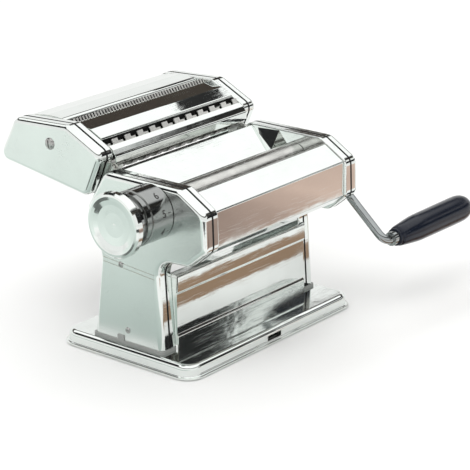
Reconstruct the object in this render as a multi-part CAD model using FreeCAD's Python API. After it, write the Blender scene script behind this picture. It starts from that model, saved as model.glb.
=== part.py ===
import FreeCAD, Part
import math
import os

# Hand-cranked pasta roller machine with a double cutter head that lifts off its back.
# Millimetres. The origin is on the table under the middle of the base.
# +X is the crank end, -X the thickness knob end, -Y the pasta exit, +Y the cutter head, +Z up.

# ---- driving dimensions: side frames ---------------------------------------------------
roller_width = 150.0        # working width of the rollers
plate_play = 0.5            # roller end to side plate
plate_sheet = 2.0           # side plate thickness
seam_reach = 6.5            # side plate's inner face to the seam with its cover
seam_gap = 0.4              # half the open joint between them
cover_depth = 9.0           # seam to a cover's outer face
cover_sheet = 1.2           # cover and rim sheet thickness
cover_edge_radius = 4.0     # soft edge round a cover face
plate_edge_radius = 1.2     # soft edge round a side plate
seat_height = 2.0           # moulding between a leg and the base

# ---- driving dimensions: base ----------------------------------------------------------
base_overhang = 7.0         # tray beyond a cover's face
base_width = 125.0          # tray, along Y
base_height = 11.0          # table to the flat top
base_sheet = 1.2
base_corner_radius = 12.0
base_top_radius = 4.0
base_lip = 2.4              # how far the bottom lip flares out
foot_height = 0.8           # rubber feet below the lip
foot_radius = 7.0

# ---- driving dimensions: dough rollers ---------------------------------------------------
roller_radius = 12.0
drive_y = -23.0             # fixed roller, crank and knob share this axis
axis_z = 119.5
gap_least = 0.3             # roller gap at the thinnest setting
gap_most = 2.8              # roller gap at the thickest setting
knob_steps = 6              # seven settings
knob_step_angle = 40.0
knob_rest_step = 2          # the setting drawn here, counted from the thinnest
running_fit = 0.05          # radial clearance of a shaft in its bush
slide_fit = 0.1             # clearance of a sliding block in its guide
free_gap = 0.6              # clearance round a part that only passes through
drive_journal = 6.0         # crank-end journal radius
small_journal = 5.0         # other journals

# ---- driving dimensions: knob and crank ---------------------------------------------------
knob_radius = 24.0
dial_radius = 20.6
knob_length = 42.0          # cover face to the knob's front
dial_length = 21.0          # cover face to the end of the dial ring
knob_web_at = 13.0          # cover face to the knob's inner web
knob_web = 3.0              # its thickness
crank_rod_radius = 3.5
crank_standoff = 9.0        # cover face to the middle of the crank arm
crank_reach = 92.0
crank_angle = 41.5          # below the forward horizontal
crank_bend = 7.0            # radius of its bends
grip_gap = 13.0             # middle of the crank arm to the grip
grip_length = 99.0
grip_radius = 10.9

# ---- driving dimensions: cutter head ------------------------------------------------------
cutter_radius = 9.5
cutter_centres = 18.0
cutter_groove = 2.0         # depth of the grooves between cutter discs
wide_pitch = 13.85          # two wide noodles
fine_pitch = 3.2            # two fine noodles
cutter_tilt = 37.0          # rise of the rear roller of a pair
rail_top = 12.0             # rails, measured down the head's front edge
rail_bottom = 25.0
rail_out = 1.5              # and out from it
rail_thickness = 1.5
rail_reach = 7.0
hook_fit = 0.4              # hook to rail
hook_sheet = 1.2
hook_depth = 2.0            # how far a hook reaches in behind the head's front edge

# ---- worked out from the above --------------------------------------------------------------
plate_x = roller_width / 2 + plate_play
plate_out_x = plate_x + plate_sheet
seam_x = plate_x + seam_reach
cover_face_x = seam_x + cover_depth
knob_low = -knob_rest_step * knob_step_angle
gap_per_degree = (gap_most - gap_least) / (knob_steps * knob_step_angle)
gap_rest = gap_least - gap_per_degree * knob_low
front_y = drive_y - 2 * roller_radius - gap_rest
gap_close = gap_rest - gap_least
gap_open = gap_most - gap_rest
leg_bottom_z = base_height + seat_height
base_length = 2 * (cover_face_x + base_overhang)
tilt_y = cutter_centres * math.cos(math.radians(cutter_tilt))
tilt_z = cutter_centres * math.sin(math.radians(cutter_tilt))
cover_in_x = cover_face_x - cover_sheet


def from_axis(*places):
    """(y, z) places measured from the fixed roller's axis."""
    return [(drive_y + y, axis_z + z) for y, z in places]


# side frame outline (y, z), counter-clockwise, with corner radii: an inverted L on a leg
leg_foot_z = 3.0            # the outline runs on below the leg and is cut off at the seat
frame_points = [(-31.0, leg_foot_z), (37.5, leg_foot_z)] + from_axis(
    (51.0, -45.5), (64.5, -9.5), (46.5, 19.8), (-25.0, 19.8), (-48.5, 5.8), (-49.4, -21.9), (-33.0, -35.9),
    (-3.0, -37.5))
frame_radii = [6.0, 6.0, 16.0, 8.0, 8.0, 9.0, 8.0, 8.0, 10.0, 13.0]

# cutter head outline, the same way round
head_points = from_axis((63.3, -3.0), (154.0, 11.0), (135.5, 45.2), (82.0, 48.0), (48.0, 31.5))
head_radii = [7.0, 7.0, 8.0, 9.0, 7.0]
(wide_front_y, wide_front_z), (fine_front_y, fine_front_z) = from_axis((66.5, 20.0), (100.0, 23.5))

low_rod_z = 26.0
tie_rod_places = from_axis((-24.0, -29.5), (29.0, 1.5), (52.0, -9.5), (37.0, -55.5))
tie_rod_places += [(-20.0, low_rod_z), (22.0, low_rod_z)]
tie_rod_radius = 3.0
cover_screw_places = from_axis((31.3, -47.5)) + [(2.6, 22.0)]
head_rod_places = from_axis((69.0, 5.0), (97.0, 7.5), (138.0, 21.5))
head_rod_radius = 2.5
left_head_screw, right_head_screw = from_axis((98.8, 31.6), (91.0, 39.0))
screw_neck = 0.7            # threaded ends of a rod, as a share of its radius
through = 3.0               # how far a cutting tool runs past a sheet

parts = {}


# ---- helpers ----------------------------------------------------------------------------------
def vec(x, y, z):
    return FreeCAD.Vector(x, y, z)


def mirrored(shape):
    """The same shape for the other end of the machine."""
    return shape.mirror(vec(0, 0, 0), vec(1, 0, 0))


def fuse_all(shapes):
    result = shapes[0]
    if len(shapes) > 1:
        result = result.fuse(shapes[1:])
    return result.removeSplitter()


def group(shapes):
    """Separate like pieces that share one node."""
    return Part.makeCompound(shapes)


def box(x0, x1, y0, y1, z0, z1):
    return Part.makeBox(x1 - x0, y1 - y0, z1 - z0, vec(x0, y0, z0))


def rod_x(radius, x0, x1, y, z):
    return Part.makeCylinder(radius, x1 - x0, vec(x0, y, z), vec(1, 0, 0))


def tube_x(outer, inner, x0, x1, y, z):
    return rod_x(outer, x0, x1, y, z).cut(rod_x(inner, x0 - 1, x1 + 1, y, z))


def slot_x(radius, x0, x1, y0, y1, z):
    """A round-ended slot along Y, cut through in X."""
    ends = [rod_x(radius, x0, x1, y, z) for y in (y0, y1)]
    return fuse_all([box(x0, x1, min(y0, y1), max(y0, y1), z - radius, z + radius)] + ends)


def hex_x(across_flats, x0, x1, y, z):
    radius = across_flats / math.sqrt(3)
    corners = [vec(x0, y + radius * math.cos(math.radians(60 * i)),
                   z + radius * math.sin(math.radians(60 * i))) for i in range(7)]
    return Part.Face(Part.makePolygon(corners)).extrude(vec(x1 - x0, 0, 0))


def rounded_face(points, radii, x):
    """A face in the plane x, bounded by a (y, z) outline whose corners are rounded."""
    count = len(points)
    corners = []
    for i in range(count):
        here = vec(x, *points[i])
        back = (vec(x, *points[i - 1]) - here).normalize()
        ahead = (vec(x, *points[(i + 1) % count]) - here).normalize()
        if radii[i] < 0.01:
            corners.append((here, None, here))
            continue
        half = back.getAngle(ahead) / 2
        setback = radii[i] / math.tan(half)
        inward = (back + ahead).normalize()
        middle = here + inward * (radii[i] / math.sin(half) - radii[i])
        corners.append((here + back * setback, middle, here + ahead * setback))
    edges = []
    for i in range(count):
        start = corners[i - 1][2]
        end, middle, leave = corners[i]
        if (end - start).Length > 1e-6:
            edges.append(Part.LineSegment(start, end).toShape())
        if middle is not None:
            edges.append(Part.Arc(end, middle, leave).toShape())
    return Part.Face(Part.Wire(edges))


def plate(points, radii, x0, x1):
    return rounded_face(points, radii, x0).extrude(vec(x1 - x0, 0, 0))


def inset(points, radii, depth):
    """The outline moved inwards by depth; an outer corner tightens and an inner one opens."""
    count = len(points)
    new_points = []
    new_radii = []
    for i in range(count):
        here = vec(0, *points[i])
        arrive = (here - vec(0, *points[i - 1])).normalize()
        leave = (vec(0, *points[(i + 1) % count]) - here).normalize()
        left_a = vec(0, -arrive.z, arrive.y)
        left_b = vec(0, -leave.z, leave.y)
        moved = here + (left_a + left_b) * (depth / (1 + left_a.dot(left_b)))
        outer_corner = arrive.y * leave.z - arrive.z * leave.y > 0
        new_points.append((moved.y, moved.z))
        new_radii.append(max(radii[i] - depth, 0.3) if outer_corner else radii[i] + depth)
    return new_points, new_radii


def soften(shape, x, radius):
    """Round the edges that lie in the plane x."""
    edges = [e for e in shape.Edges if all(abs(v.X - x) < 1e-5 for v in e.Vertexes)]
    return shape.makeFillet(radius, edges)


def pan(points, radii, x_rim, x_face, sheet, face_sheet, edge_radius):
    """A pressed pan: a flat face with a rim that reaches back to x_rim."""
    side = 1 if x_face > x_rim else -1
    outer = soften(plate(points, radii, x_rim, x_face), x_face, edge_radius)
    inner_points, inner_radii = inset(points, radii, sheet)
    floor_x = x_face - side * face_sheet
    inner = plate(inner_points, inner_radii, x_rim - side, floor_x)
    inner = soften(inner, floor_x, max(edge_radius - sheet, 0.3))
    return outer.cut(inner)


def bent_sheet(path, thickness, bend, x0, x1):
    """Sheet metal bent along a (y, z) path; the path is its left-hand face."""
    outer = [vec(0, *p) for p in path]
    other = []
    turns = []
    for i, here in enumerate(outer):
        before = (here - outer[i - 1]).normalize() if i > 0 else None
        after = (outer[i + 1] - here).normalize() if i < len(outer) - 1 else None
        first = before or after
        second = after or before
        right_a = vec(0, first.z, -first.y)
        right_b = vec(0, second.z, -second.y)
        other.append(here + (right_a + right_b) * (thickness / (1 + right_a.dot(right_b))))
        turns.append(first.y * second.z - first.z * second.y)
    near = [bend if t > 0 else bend + thickness for t in turns]
    far = [bend + thickness if t > 0 else bend for t in turns]
    near[0] = near[-1] = far[0] = far[-1] = 0.0
    points = [(p.y, p.z) for p in outer] + [(p.y, p.z) for p in reversed(other)]
    return plate(points, near + far[::-1], x0, x1)


def thick_line(start, end, thickness, x0, x1):
    """A flat blade between two (y, z) points."""
    a = vec(x0, *start)
    b = vec(x0, *end)
    along = (b - a).normalize()
    across = vec(0, -along.z, along.y) * (thickness / 2)
    outline = Part.makePolygon([a + across, b + across, b - across, a - across, a + across])
    return Part.Face(outline).extrude(vec(x1 - x0, 0, 0))


def involute(angle):
    return math.tan(angle) - angle


def gear(teeth, least_centres, tip, root, backlash, bore, x0, x1, y, z, tooth_angle):
    """A spur gear with long, thinned teeth; tooth_angle is where one tooth points."""
    pitch_radius = least_centres / 2
    base_radius = pitch_radius * 0.889
    half_at_pitch = (math.pi * pitch_radius / teeth - backlash) / (2 * pitch_radius)
    at_pitch = involute(math.acos(base_radius / pitch_radius))
    steps = 6
    flank = []
    for i in range(steps + 1):
        radius = base_radius + (tip - base_radius) * i / steps
        spread = half_at_pitch + at_pitch - involute(math.acos(base_radius / radius))
        flank.append((radius, spread))
    flank.insert(0, (root, flank[0][1]))
    outline = []
    for tooth in range(teeth):
        centre = math.radians(tooth_angle) + 2 * math.pi * tooth / teeth
        for radius, spread in flank:
            outline.append((radius, centre - spread))
        for radius, spread in reversed(flank):
            outline.append((radius, centre + spread))
    points = [vec(x0, y + r * math.cos(a), z + r * math.sin(a)) for r, a in outline]
    points.append(points[0])
    blank = Part.Face(Part.makePolygon(points)).extrude(vec(x1 - x0, 0, 0))
    return blank.cut(rod_x(bore, x0 - 1, x1 + 1, y, z))


def turned(profile, y, z):
    """A body of revolution about an X axis from (x, radius) points."""
    points = [vec(x, y + r, z) for x, r in profile]
    points.append(points[0])
    return Part.Face(Part.makePolygon(points)).revolve(vec(0, y, z), vec(1, 0, 0), 360)


def screw_x(head_radius, shank_radius, x_seat, x_tip, y, z):
    """A slotted pan-head screw whose head sits outwards of x_seat."""
    side = 1 if x_seat > x_tip else -1
    head_top = x_seat + side * 1.0
    head = rod_x(head_radius, min(x_seat, head_top), max(x_seat, head_top), y, z)
    head = soften(head, head_top, 0.4)
    slot = box(head_top - 0.5, head_top + 0.5, y - head_radius, y + head_radius, z - 0.35, z + 0.35)
    shank = rod_x(shank_radius, min(x_seat, x_tip), max(x_seat, x_tip), y, z)
    return fuse_all([head.cut(slot), shank])


# ---- base ---------------------------------------------------------------------------------------
def tray_block(grow, z0, z1):
    block = box(-base_length / 2 - grow, base_length / 2 + grow,
                -base_width / 2 - grow, base_width / 2 + grow, z0, z1)
    upright = [e for e in block.Edges if abs(e.Vertexes[0].Z - e.Vertexes[1].Z) > 0.1]
    return block.makeFillet(base_corner_radius + grow, upright)


def round_top(block, z, radius):
    edges = [e for e in block.Edges if all(abs(v.Z - z) < 1e-5 for v in e.Vertexes)]
    return block.makeFillet(radius, edges)


clamp_slot_half = 8.0
clamp_slot_low = foot_height + 2.2
clamp_slot_high = clamp_slot_low + 4.2
clamp_depth = 42.0


def make_base():
    outer = round_top(tray_block(0, foot_height, base_height), base_height, base_top_radius)
    inner_top = base_height - base_sheet
    inner = round_top(tray_block(-base_sheet, foot_height - 1, inner_top), inner_top,
                      base_top_radius - base_sheet)
    lip = tray_block(base_lip, foot_height, foot_height + base_sheet)
    shell = fuse_all([outer, lip])
    z_root = foot_height + base_sheet
    root_edges = [e for e in shell.Edges if all(abs(v.Z - z_root) < 1e-5 for v in e.Vertexes)
                  and e.BoundBox.XLength < base_length + 0.1 and e.BoundBox.YLength < base_width + 0.1
                  and not on_lip_rim(e)]
    shell = shell.makeFillet(1.2, root_edges).cut(inner)
    front = -base_width / 2
    shell = shell.cut(box(-clamp_slot_half, clamp_slot_half, front - 5, front + 5,
                          clamp_slot_low, clamp_slot_high))
    for x, y in base_screw_places():
        shell = shell.cut(Part.makeCylinder(1.7, 10, vec(x, y, base_height - 5)))
    parts["base_plate"] = shell
    walls = []
    for side in (-1, 1):
        x0 = side * (clamp_slot_half + 0.2)
        x1 = x0 + side * base_sheet
        walls.append(box(min(x0, x1), max(x0, x1), front + 4, front + clamp_depth,
                         clamp_slot_low - 0.2 - base_sheet, inner_top))
    floor = box(-clamp_slot_half - 0.2 - base_sheet, clamp_slot_half + 0.2 + base_sheet, front + 4,
                front + clamp_depth, clamp_slot_low - 0.2 - base_sheet, clamp_slot_low - 0.2)
    parts["clamp_socket"] = fuse_all(walls + [floor])
    feet = []
    for x in (-1, 1):
        for y in (-1, 1):
            centre = vec(x * (base_length / 2 - 16), y * (base_width / 2 - 16), 0)
            pad = Part.makeCylinder(foot_radius, inner_top, centre)
            rim = [e for e in pad.Edges if all(abs(v.Z) < 1e-5 for v in e.Vertexes)]
            feet.append(pad.makeFillet(1.0, rim))
    parts["rubber_feet"] = group(feet)


def on_lip_rim(edge):
    """True for the outer top edge of the flared lip."""
    bounds = edge.BoundBox
    beyond_x = max(abs(bounds.XMin), abs(bounds.XMax)) > base_length / 2 + 0.1
    beyond_y = max(abs(bounds.YMin), abs(bounds.YMax)) > base_width / 2 + 0.1
    return beyond_x or beyond_y


# ---- side frames ----------------------------------------------------------------------------------
bracket_y = (-16.0, 16.0)
bracket_reach = 12.0


def base_screw_places():
    x = plate_x - bracket_reach / 2 - 1
    return [(side * x, y) for side in (-1, 1) for y in bracket_y]


def leg_at(z):
    """Front and back (y) of the leg outline at a height."""
    def along(a, b):
        share = (z - a[1]) / (b[1] - a[1])
        return a[0] + (b[0] - a[0]) * share
    return along(frame_points[0], frame_points[9]), along(frame_points[1], frame_points[2])


def below_leg():
    return box(-120, 120, -60, 60, -20, leg_bottom_z)


def front_journal_slot(x0, x1):
    radius = small_journal + free_gap
    return slot_x(radius, x0, x1, front_y - gap_open, front_y + gap_close, axis_z)


scraper_rod_radius = 2.5
scraper_dy = 9.0
scraper_z = axis_z - 22.0
scraper_tip_dy = 3.5
scraper_tip_gap = 0.4
scraper_sheet = 0.8


def scraper_rod_slot(x0, x1):
    radius = scraper_rod_radius + free_gap
    y = front_y - scraper_dy
    return slot_x(radius, x0, x1, y - gap_open, y + gap_close, scraper_z)


def make_side_plates():
    for side, name in ((-1, "left"), (1, "right")):
        shape = pan(frame_points, frame_radii, seam_x - seam_gap, plate_x, cover_sheet, plate_sheet,
                    plate_edge_radius)
        cuts = [below_leg(), front_journal_slot(plate_x - through, plate_out_x + through),
                scraper_rod_slot(plate_x - through, plate_out_x + through)]
        bush = regulator_bush_radius if side < 0 else drive_bush_radius
        cuts.append(rod_x(bush, plate_x - through, plate_out_x + through, drive_y, axis_z))
        for y, z in tie_rod_places:
            cuts.append(rod_x(tie_rod_radius * screw_neck, plate_x - through, plate_out_x + through, y, z))
        for y, z in cover_screw_places:
            cuts.append(rod_x(1.5, plate_x - through, plate_out_x + through, y, z))
        for cutter in cuts:
            shape = shape.cut(cutter)
        parts[name + "_side_plate"] = shape if side > 0 else mirrored(shape)


press_line_gap = 3.2
press_line_width = 0.7
press_line_depth = 0.35


def make_covers():
    for side, name in ((-1, "left"), (1, "right")):
        shape = pan(frame_points, frame_radii, seam_x + seam_gap, cover_face_x, cover_sheet,
                    cover_sheet, cover_edge_radius)
        shape = shape.cut(below_leg())
        hole = regulator_radius + 1.5 if side < 0 else drive_journal + 1.0
        shape = shape.cut(rod_x(hole, cover_in_x - through, cover_face_x + 1, drive_y, axis_z))
        for y, z in cover_screw_places:
            shape = shape.cut(rod_x(1.6, cover_in_x - through, cover_face_x + 1, y, z))
        # two lines pressed across the leg top
        for drop in (0.0, press_line_gap):
            ends = from_axis((63.0, -43.5 - drop), (-17.0, -49.9 - drop))
            groove = thick_line(*ends, press_line_width, cover_face_x - press_line_depth, cover_face_x + 1)
            shape = shape.cut(groove)
        parts[name + "_side_cover"] = shape if side > 0 else mirrored(shape)


def make_cover_fixings():
    posts = []
    screws = []
    for side in (-1, 1):
        for y, z in cover_screw_places:
            x0, x1 = sorted((side * plate_out_x, side * cover_in_x))
            posts.append(hex_x(6.0, x0, x1, y, z).cut(rod_x(1.5, x0 - 1, x1 + 1, y, z)))
            screws.append(screw_x(2.1, 1.5, side * cover_face_x, side * (plate_x + 0.2), y, z))
    parts["cover_posts"] = group(posts)
    parts["cover_screws"] = group(screws)


def make_tie_rods():
    rods = []
    nuts = []
    neck = tie_rod_radius * screw_neck
    for y, z in tie_rod_places:
        body = rod_x(tie_rod_radius, -plate_x, plate_x, y, z)
        ends = rod_x(neck, -plate_out_x - 3.6, plate_out_x + 3.6, y, z)
        rods.append(fuse_all([body, ends]))
        for side in (-1, 1):
            x0, x1 = sorted((side * plate_out_x, side * (plate_out_x + 2.8)))
            nuts.append(hex_x(7.0, x0, x1, y, z).cut(rod_x(neck, x0 - 1, x1 + 1, y, z)))
    parts["tie_rods"] = group(rods)
    parts["tie_rod_nuts"] = group(nuts)


def make_leg_mounting():
    front, back = leg_at(leg_bottom_z)
    seats = []
    brackets = []
    screws = []
    for side in (-1, 1):
        x0, x1 = sorted((side * (plate_x - 0.8), side * (cover_face_x + 0.8)))
        seat = box(x0, x1, front - 1.0, back + 1.0, base_height, leg_bottom_z)
        upright = [e for e in seat.Edges if abs(e.Vertexes[0].Z - e.Vertexes[1].Z) > 0.1]
        seat = seat.makeFillet(3.0, upright)
        t0, t1 = sorted((side * cover_face_x, side * (cover_face_x + 0.8)))
        seats.append(fuse_all([seat, box(t0, t1, 6.5, 12.5, base_height, leg_bottom_z + 4)]))
        for y in bracket_y:
            inner = plate_x - bracket_reach
            b0, b1 = sorted((side * (inner - 2), side * (plate_x - 0.8)))
            flat = box(b0, b1, y - 5, y + 5, base_height, base_height + 1.5)
            u0, u1 = sorted((side * (plate_x - 1.5), side * plate_x))
            upright = box(u0, u1, y - 5, y + 5, leg_bottom_z, leg_bottom_z + 8)
            j0, j1 = sorted((side * (plate_x - 1.5), side * (plate_x - 0.8)))
            joint = box(j0, j1, y - 5, y + 5, base_height, leg_bottom_z + 1)
            brackets.append(fuse_all([flat, joint, upright]))
    for x, y in base_screw_places():
        head = Part.makeCylinder(3.0, 1.6, vec(x, y, base_height + 1.5))
        shank = Part.makeCylinder(1.5, 7.5, vec(x, y, base_height - 5.2))
        screws.append(fuse_all([head, shank]))
    hole = [Part.makeCylinder(1.5, 6, vec(x, y, base_height - 1)) for x, y in base_screw_places()]
    brackets = [b.cut(group(hole)) for b in brackets]
    parts["leg_seats"] = group(seats)
    parts["leg_brackets"] = group(brackets)
    parts["base_screws"] = group(screws)


# ---- sheet metal between the side frames ------------------------------------------------------------
apron_y = -33.0
apron_top_z = axis_z - 51.5
apron_depth = 9.0
apron_sheet = 1.0
apron_swage = 1.2
apron_low_fold_z = 22.0
apron_high_fold_z = apron_top_z - 14.0


def make_apron():
    fold_y = apron_y + apron_swage
    path = [(apron_y, base_height), (apron_y, apron_low_fold_z - 1.0), (fold_y, apron_low_fold_z + 0.5),
            (fold_y, apron_high_fold_z - 0.5), (apron_y, apron_high_fold_z + 1.0), (apron_y, apron_top_z),
            (apron_y + apron_depth, apron_top_z)]
    front = bent_sheet(path, apron_sheet, 0.8, -plate_x, plate_x)
    sides = []
    for side in (-1, 1):
        x0, x1 = sorted((side * (plate_x - apron_sheet), side * plate_x))
        sides.append(box(x0, x1, fold_y + 0.5, apron_y + apron_depth, leg_bottom_z + 1, apron_top_z - 2))
    parts["front_apron"] = fuse_all([front] + sides)


hood_sheet = 0.8
hood_points = from_axis((-40.8, -27.7), (-47.0, -21.9), (-46.7, 5.1), (-27.3, 16.9), (-26.9, 13.4))


def make_hood():
    """Front hood: sloping top, upright face and a lip turned in under it."""
    end_x = plate_x - 0.3
    sheet = bent_sheet(hood_points, hood_sheet, 1.0, -end_x, end_x)
    tabs = []
    for side in (-1, 1):
        x0, x1 = sorted((side * (end_x - 0.8), side * plate_x))
        tabs.append(box(x0, x1, hood_points[1][0] + 0.6, hood_points[1][0] + 6.0,
                        axis_z - 15.5, axis_z - 1.5))
    parts["front_hood"] = fuse_all([sheet] + tabs)


feed_front, feed_back = from_axis((13.5, 4.6), (44.0, 18.9))
feed_sheet = 1.0
feed_notch = 3.0            # room beside a rail for the head's hook


def make_feed():
    end_x = plate_x - 0.3
    path = [feed_front, feed_back, (feed_back[0] + 3.0, feed_back[1] - 9.0)]
    sheet = bent_sheet(path, feed_sheet, 1.0, -end_x, end_x)
    for side in (-1, 1):
        x0, x1 = sorted((side * (plate_x - rail_reach - feed_notch), side * plate_x))
        sheet = sheet.cut(box(x0, x1, feed_back[0] - 1.5, feed_back[0] + 10, axis_z, feed_back[1] + 5))
    parts["feed_plate"] = sheet
    guides = []
    rise = (feed_back[1] - feed_front[1]) / (feed_back[0] - feed_front[0])

    def on_plate(y):
        return feed_front[1] + (y - feed_front[0]) * rise + 0.02
    y_front = feed_front[0] + 1.5
    y_back = feed_back[0] - 4.0
    for side in (-1, 1):
        wall = vec(side * plate_x, y_back, on_plate(y_back))
        low = vec(side * plate_x, y_front, on_plate(y_front))
        toe = vec(side * (plate_x - 10), y_front, on_plate(y_front))
        top = vec(side * plate_x, y_front, feed_back[1] - 0.4)
        faces = [Part.Face(Part.makePolygon([a, b, c, a]))
                 for a, b, c in ((wall, low, toe), (wall, toe, top), (wall, top, low), (low, top, toe))]
        solid = Part.Solid(Part.Shell(faces))
        if solid.Volume < 0:
            solid.reverse()
        guides.append(solid)
    parts["feed_guides"] = group(guides)


def scraper(axis_y, side):
    """A blade on a rod, its tip just clear of the roller; side is +1 behind, -1 in front."""
    rod_y = axis_y + side * scraper_dy
    tip_reach = roller_radius + scraper_tip_gap + scraper_sheet / 2
    tip_y = axis_y - side * scraper_tip_dy
    tip_z = axis_z - math.sqrt(tip_reach ** 2 - scraper_tip_dy ** 2)
    blade_end = roller_width / 2 - 1
    blade = thick_line((rod_y, scraper_z), (tip_y, tip_z), scraper_sheet, -blade_end, blade_end)
    return blade, rod_y


def make_rear_scraper():
    blade, rod_y = scraper(drive_y, 1)
    rod = rod_x(scraper_rod_radius, -plate_x, plate_x, rod_y, scraper_z)
    parts["rear_scraper"] = fuse_all([rod, blade])


# ---- fixed roller, its gear and bushes ----------------------------------------------------------------
regulator_radius = small_journal + 2.5
regulator_bush_radius = regulator_radius + 2.0
drive_bush_radius = drive_journal + 3.0
gear_x0 = seam_x + 0.5
gear_x1 = gear_x0 + 6.0
gear_teeth = 10
gear_tip = (2 * roller_radius + gap_most) / 2 + 0.5
gear_least = 2 * roller_radius + gap_least
gear_root = gear_least - gear_tip - 0.25
drive_end_x = cover_face_x + 1.6
crank_socket_radius = crank_rod_radius + 0.1
crank_socket_depth = 27.0


def make_drive_roller():
    half = roller_width / 2
    body = soften(soften(rod_x(roller_radius, -half, half, drive_y, axis_z), half, 0.4), -half, 0.4)
    left = rod_x(small_journal, -cover_face_x, -half, drive_y, axis_z)
    right = rod_x(drive_journal, half, drive_end_x, drive_y, axis_z)
    shape = fuse_all([body, left, right])
    socket = rod_x(crank_socket_radius, drive_end_x - crank_socket_depth, drive_end_x + 1, drive_y, axis_z)
    parts["drive_roller"] = shape.cut(socket)
    parts["drive_gear"] = gear(gear_teeth, gear_least, gear_tip, gear_root, 0.3, drive_journal,
                               gear_x0, gear_x1, drive_y, axis_z, 180.0)
    drive_bush = tube_x(drive_bush_radius, drive_journal + running_fit, plate_x, plate_out_x + 2,
                        drive_y, axis_z)
    regulator_bush = tube_x(regulator_bush_radius, regulator_radius + running_fit,
                            -plate_out_x - 0.3, -plate_x, drive_y, axis_z)
    parts["frame_bushes"] = group([drive_bush, regulator_bush])


# ---- sliding carriage with the adjustable roller ---------------------------------------------------------
arm_x0 = plate_out_x + 0.5
arm_x1 = arm_x0 + 3.0
arm_half_height = 10.0
arm_front = 8.5
cam_pin_radius = 2.0
cam_least = 11.2
cam_rest = cam_least - gap_per_degree * knob_low
cam_x0 = arm_x1 + 1.0
cam_x1 = cam_x0 + 4.2
groove_depth = 3.0


def make_carriage():
    rod_y = front_y - scraper_dy
    pin_y = drive_y - cam_rest
    for side, name in ((-1, "left"), (1, "right")):
        back_y = pin_y + cam_pin_radius + 0.8 if side < 0 else front_y + 7.0
        x0, x1 = sorted((side * arm_x0, side * arm_x1))
        block = box(x0, x1, front_y - arm_front, back_y, axis_z - arm_half_height,
                    axis_z + arm_half_height)
        leg = box(x0, x1, rod_y - 4.0, rod_y + 4.0, scraper_z - 4.0, axis_z)
        shape = fuse_all([block, leg])
        shape = shape.cut(rod_x(small_journal + running_fit, x0 - 1, x1 + 1, front_y, axis_z))
        shape = shape.cut(rod_x(scraper_rod_radius, x0 - 1, x1 + 1, rod_y, scraper_z))
        if side < 0:
            pin = rod_x(cam_pin_radius, -cam_x0 - groove_depth + 0.3, -arm_x0, pin_y, axis_z)
            shape = fuse_all([shape, pin])
        parts[name + "_carriage_arm"] = shape
    blade, rod_y = scraper(front_y, -1)
    rod = rod_x(scraper_rod_radius, -arm_x1, arm_x1, rod_y, scraper_z)
    parts["front_scraper"] = fuse_all([rod, blade])
    rails = []
    for side in (-1, 1):
        x0, x1 = sorted((side * plate_out_x, side * (arm_x1 + 0.5)))
        low = axis_z - arm_half_height - slide_fit
        high = axis_z + arm_half_height + slide_fit
        rails.append(box(x0, x1, front_y - 6.0, front_y + 6.0, high, high + 2.2))
        rails.append(box(x0, x1, front_y - 2.6, front_y + 6.0, low - 2.4, low))
    parts["carriage_guides"] = group(rails)


def make_front_roller():
    half = roller_width / 2
    body = soften(soften(rod_x(roller_radius, -half, half, front_y, axis_z), half, 0.4), -half, 0.4)
    journals = rod_x(small_journal, -arm_x1 - 0.3, gear_x1, front_y, axis_z)
    parts["front_roller"] = fuse_all([body, journals])
    parts["front_gear"] = gear(gear_teeth, gear_least, gear_tip, gear_root, 0.3, small_journal,
                               gear_x0, gear_x1, front_y, axis_z, 180.0 / gear_teeth)


# ---- thickness regulator ------------------------------------------------------------------------------------
knob_face_x = cover_face_x + knob_length
sleeve_end_x = knob_face_x - 13.0
retainer_x = sleeve_end_x - 3.5
web_x0 = cover_face_x + knob_web_at
web_x1 = web_x0 + knob_web
index_radius = 13.5
index_holes = 9
index_plate_x = cover_face_x + 1.3


def cam_groove():
    """The spiral groove that the carriage pin runs in: a string of short straight cuts."""
    low = knob_low - 12.0
    high = knob_low + knob_steps * knob_step_angle + 12.0
    width = cam_pin_radius + running_fit
    inner = []
    outer = []
    steps = 66
    for i in range(steps + 1):
        turn = low + (high - low) * i / steps
        radius = cam_rest + gap_per_degree * turn
        angle = math.radians(180.0 - turn)
        for store, r in ((inner, radius - width), (outer, radius + width)):
            store.append(vec(-cam_x0 - groove_depth, drive_y + r * math.cos(angle),
                             axis_z + r * math.sin(angle)))
    sides = [Part.BSplineCurve(), Part.BSplineCurve()]
    sides[0].interpolate(inner)
    sides[1].interpolate(outer)
    ends = [Part.LineSegment(inner[-1], outer[-1]).toShape(), Part.LineSegment(outer[0], inner[0]).toShape()]
    wire = Part.Wire([sides[0].toShape(), ends[0], sides[1].toShape(), ends[1]])
    return Part.Face(wire).extrude(vec(groove_depth + 1, 0, 0))


def make_regulator():
    sleeve = rod_x(regulator_radius, -sleeve_end_x, -plate_x - 0.2, drive_y, axis_z)
    bore = rod_x(small_journal + running_fit, -cover_face_x - 1, -plate_x + 1, drive_y, axis_z)
    parts["regulator_sleeve"] = sleeve.cut(bore)
    cam_radius = cam_rest + gap_per_degree * (knob_low + knob_steps * knob_step_angle)
    cam_radius = cam_radius + cam_pin_radius + 1.2
    disc = tube_x(cam_radius, regulator_radius, -cam_x1, -cam_x0, drive_y, axis_z)
    parts["regulator_cam"] = disc.cut(cam_groove())
    nut = tube_x(11.0, regulator_radius, -sleeve_end_x, -retainer_x, drive_y, axis_z)
    parts["knob_retainer"] = nut
    plate_ring = tube_x(17.0, regulator_radius + 1.5, -index_plate_x, -cover_face_x, drive_y, axis_z)
    for i in range(index_holes):
        angle = math.radians(knob_step_angle * i + 20.0)
        y = drive_y + index_radius * math.cos(angle)
        z = axis_z + index_radius * math.sin(angle)
        plate_ring = plate_ring.cut(rod_x(1.7, -index_plate_x - 1, -cover_face_x + 0.5, y, z))
    parts["index_plate"] = plate_ring


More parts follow.
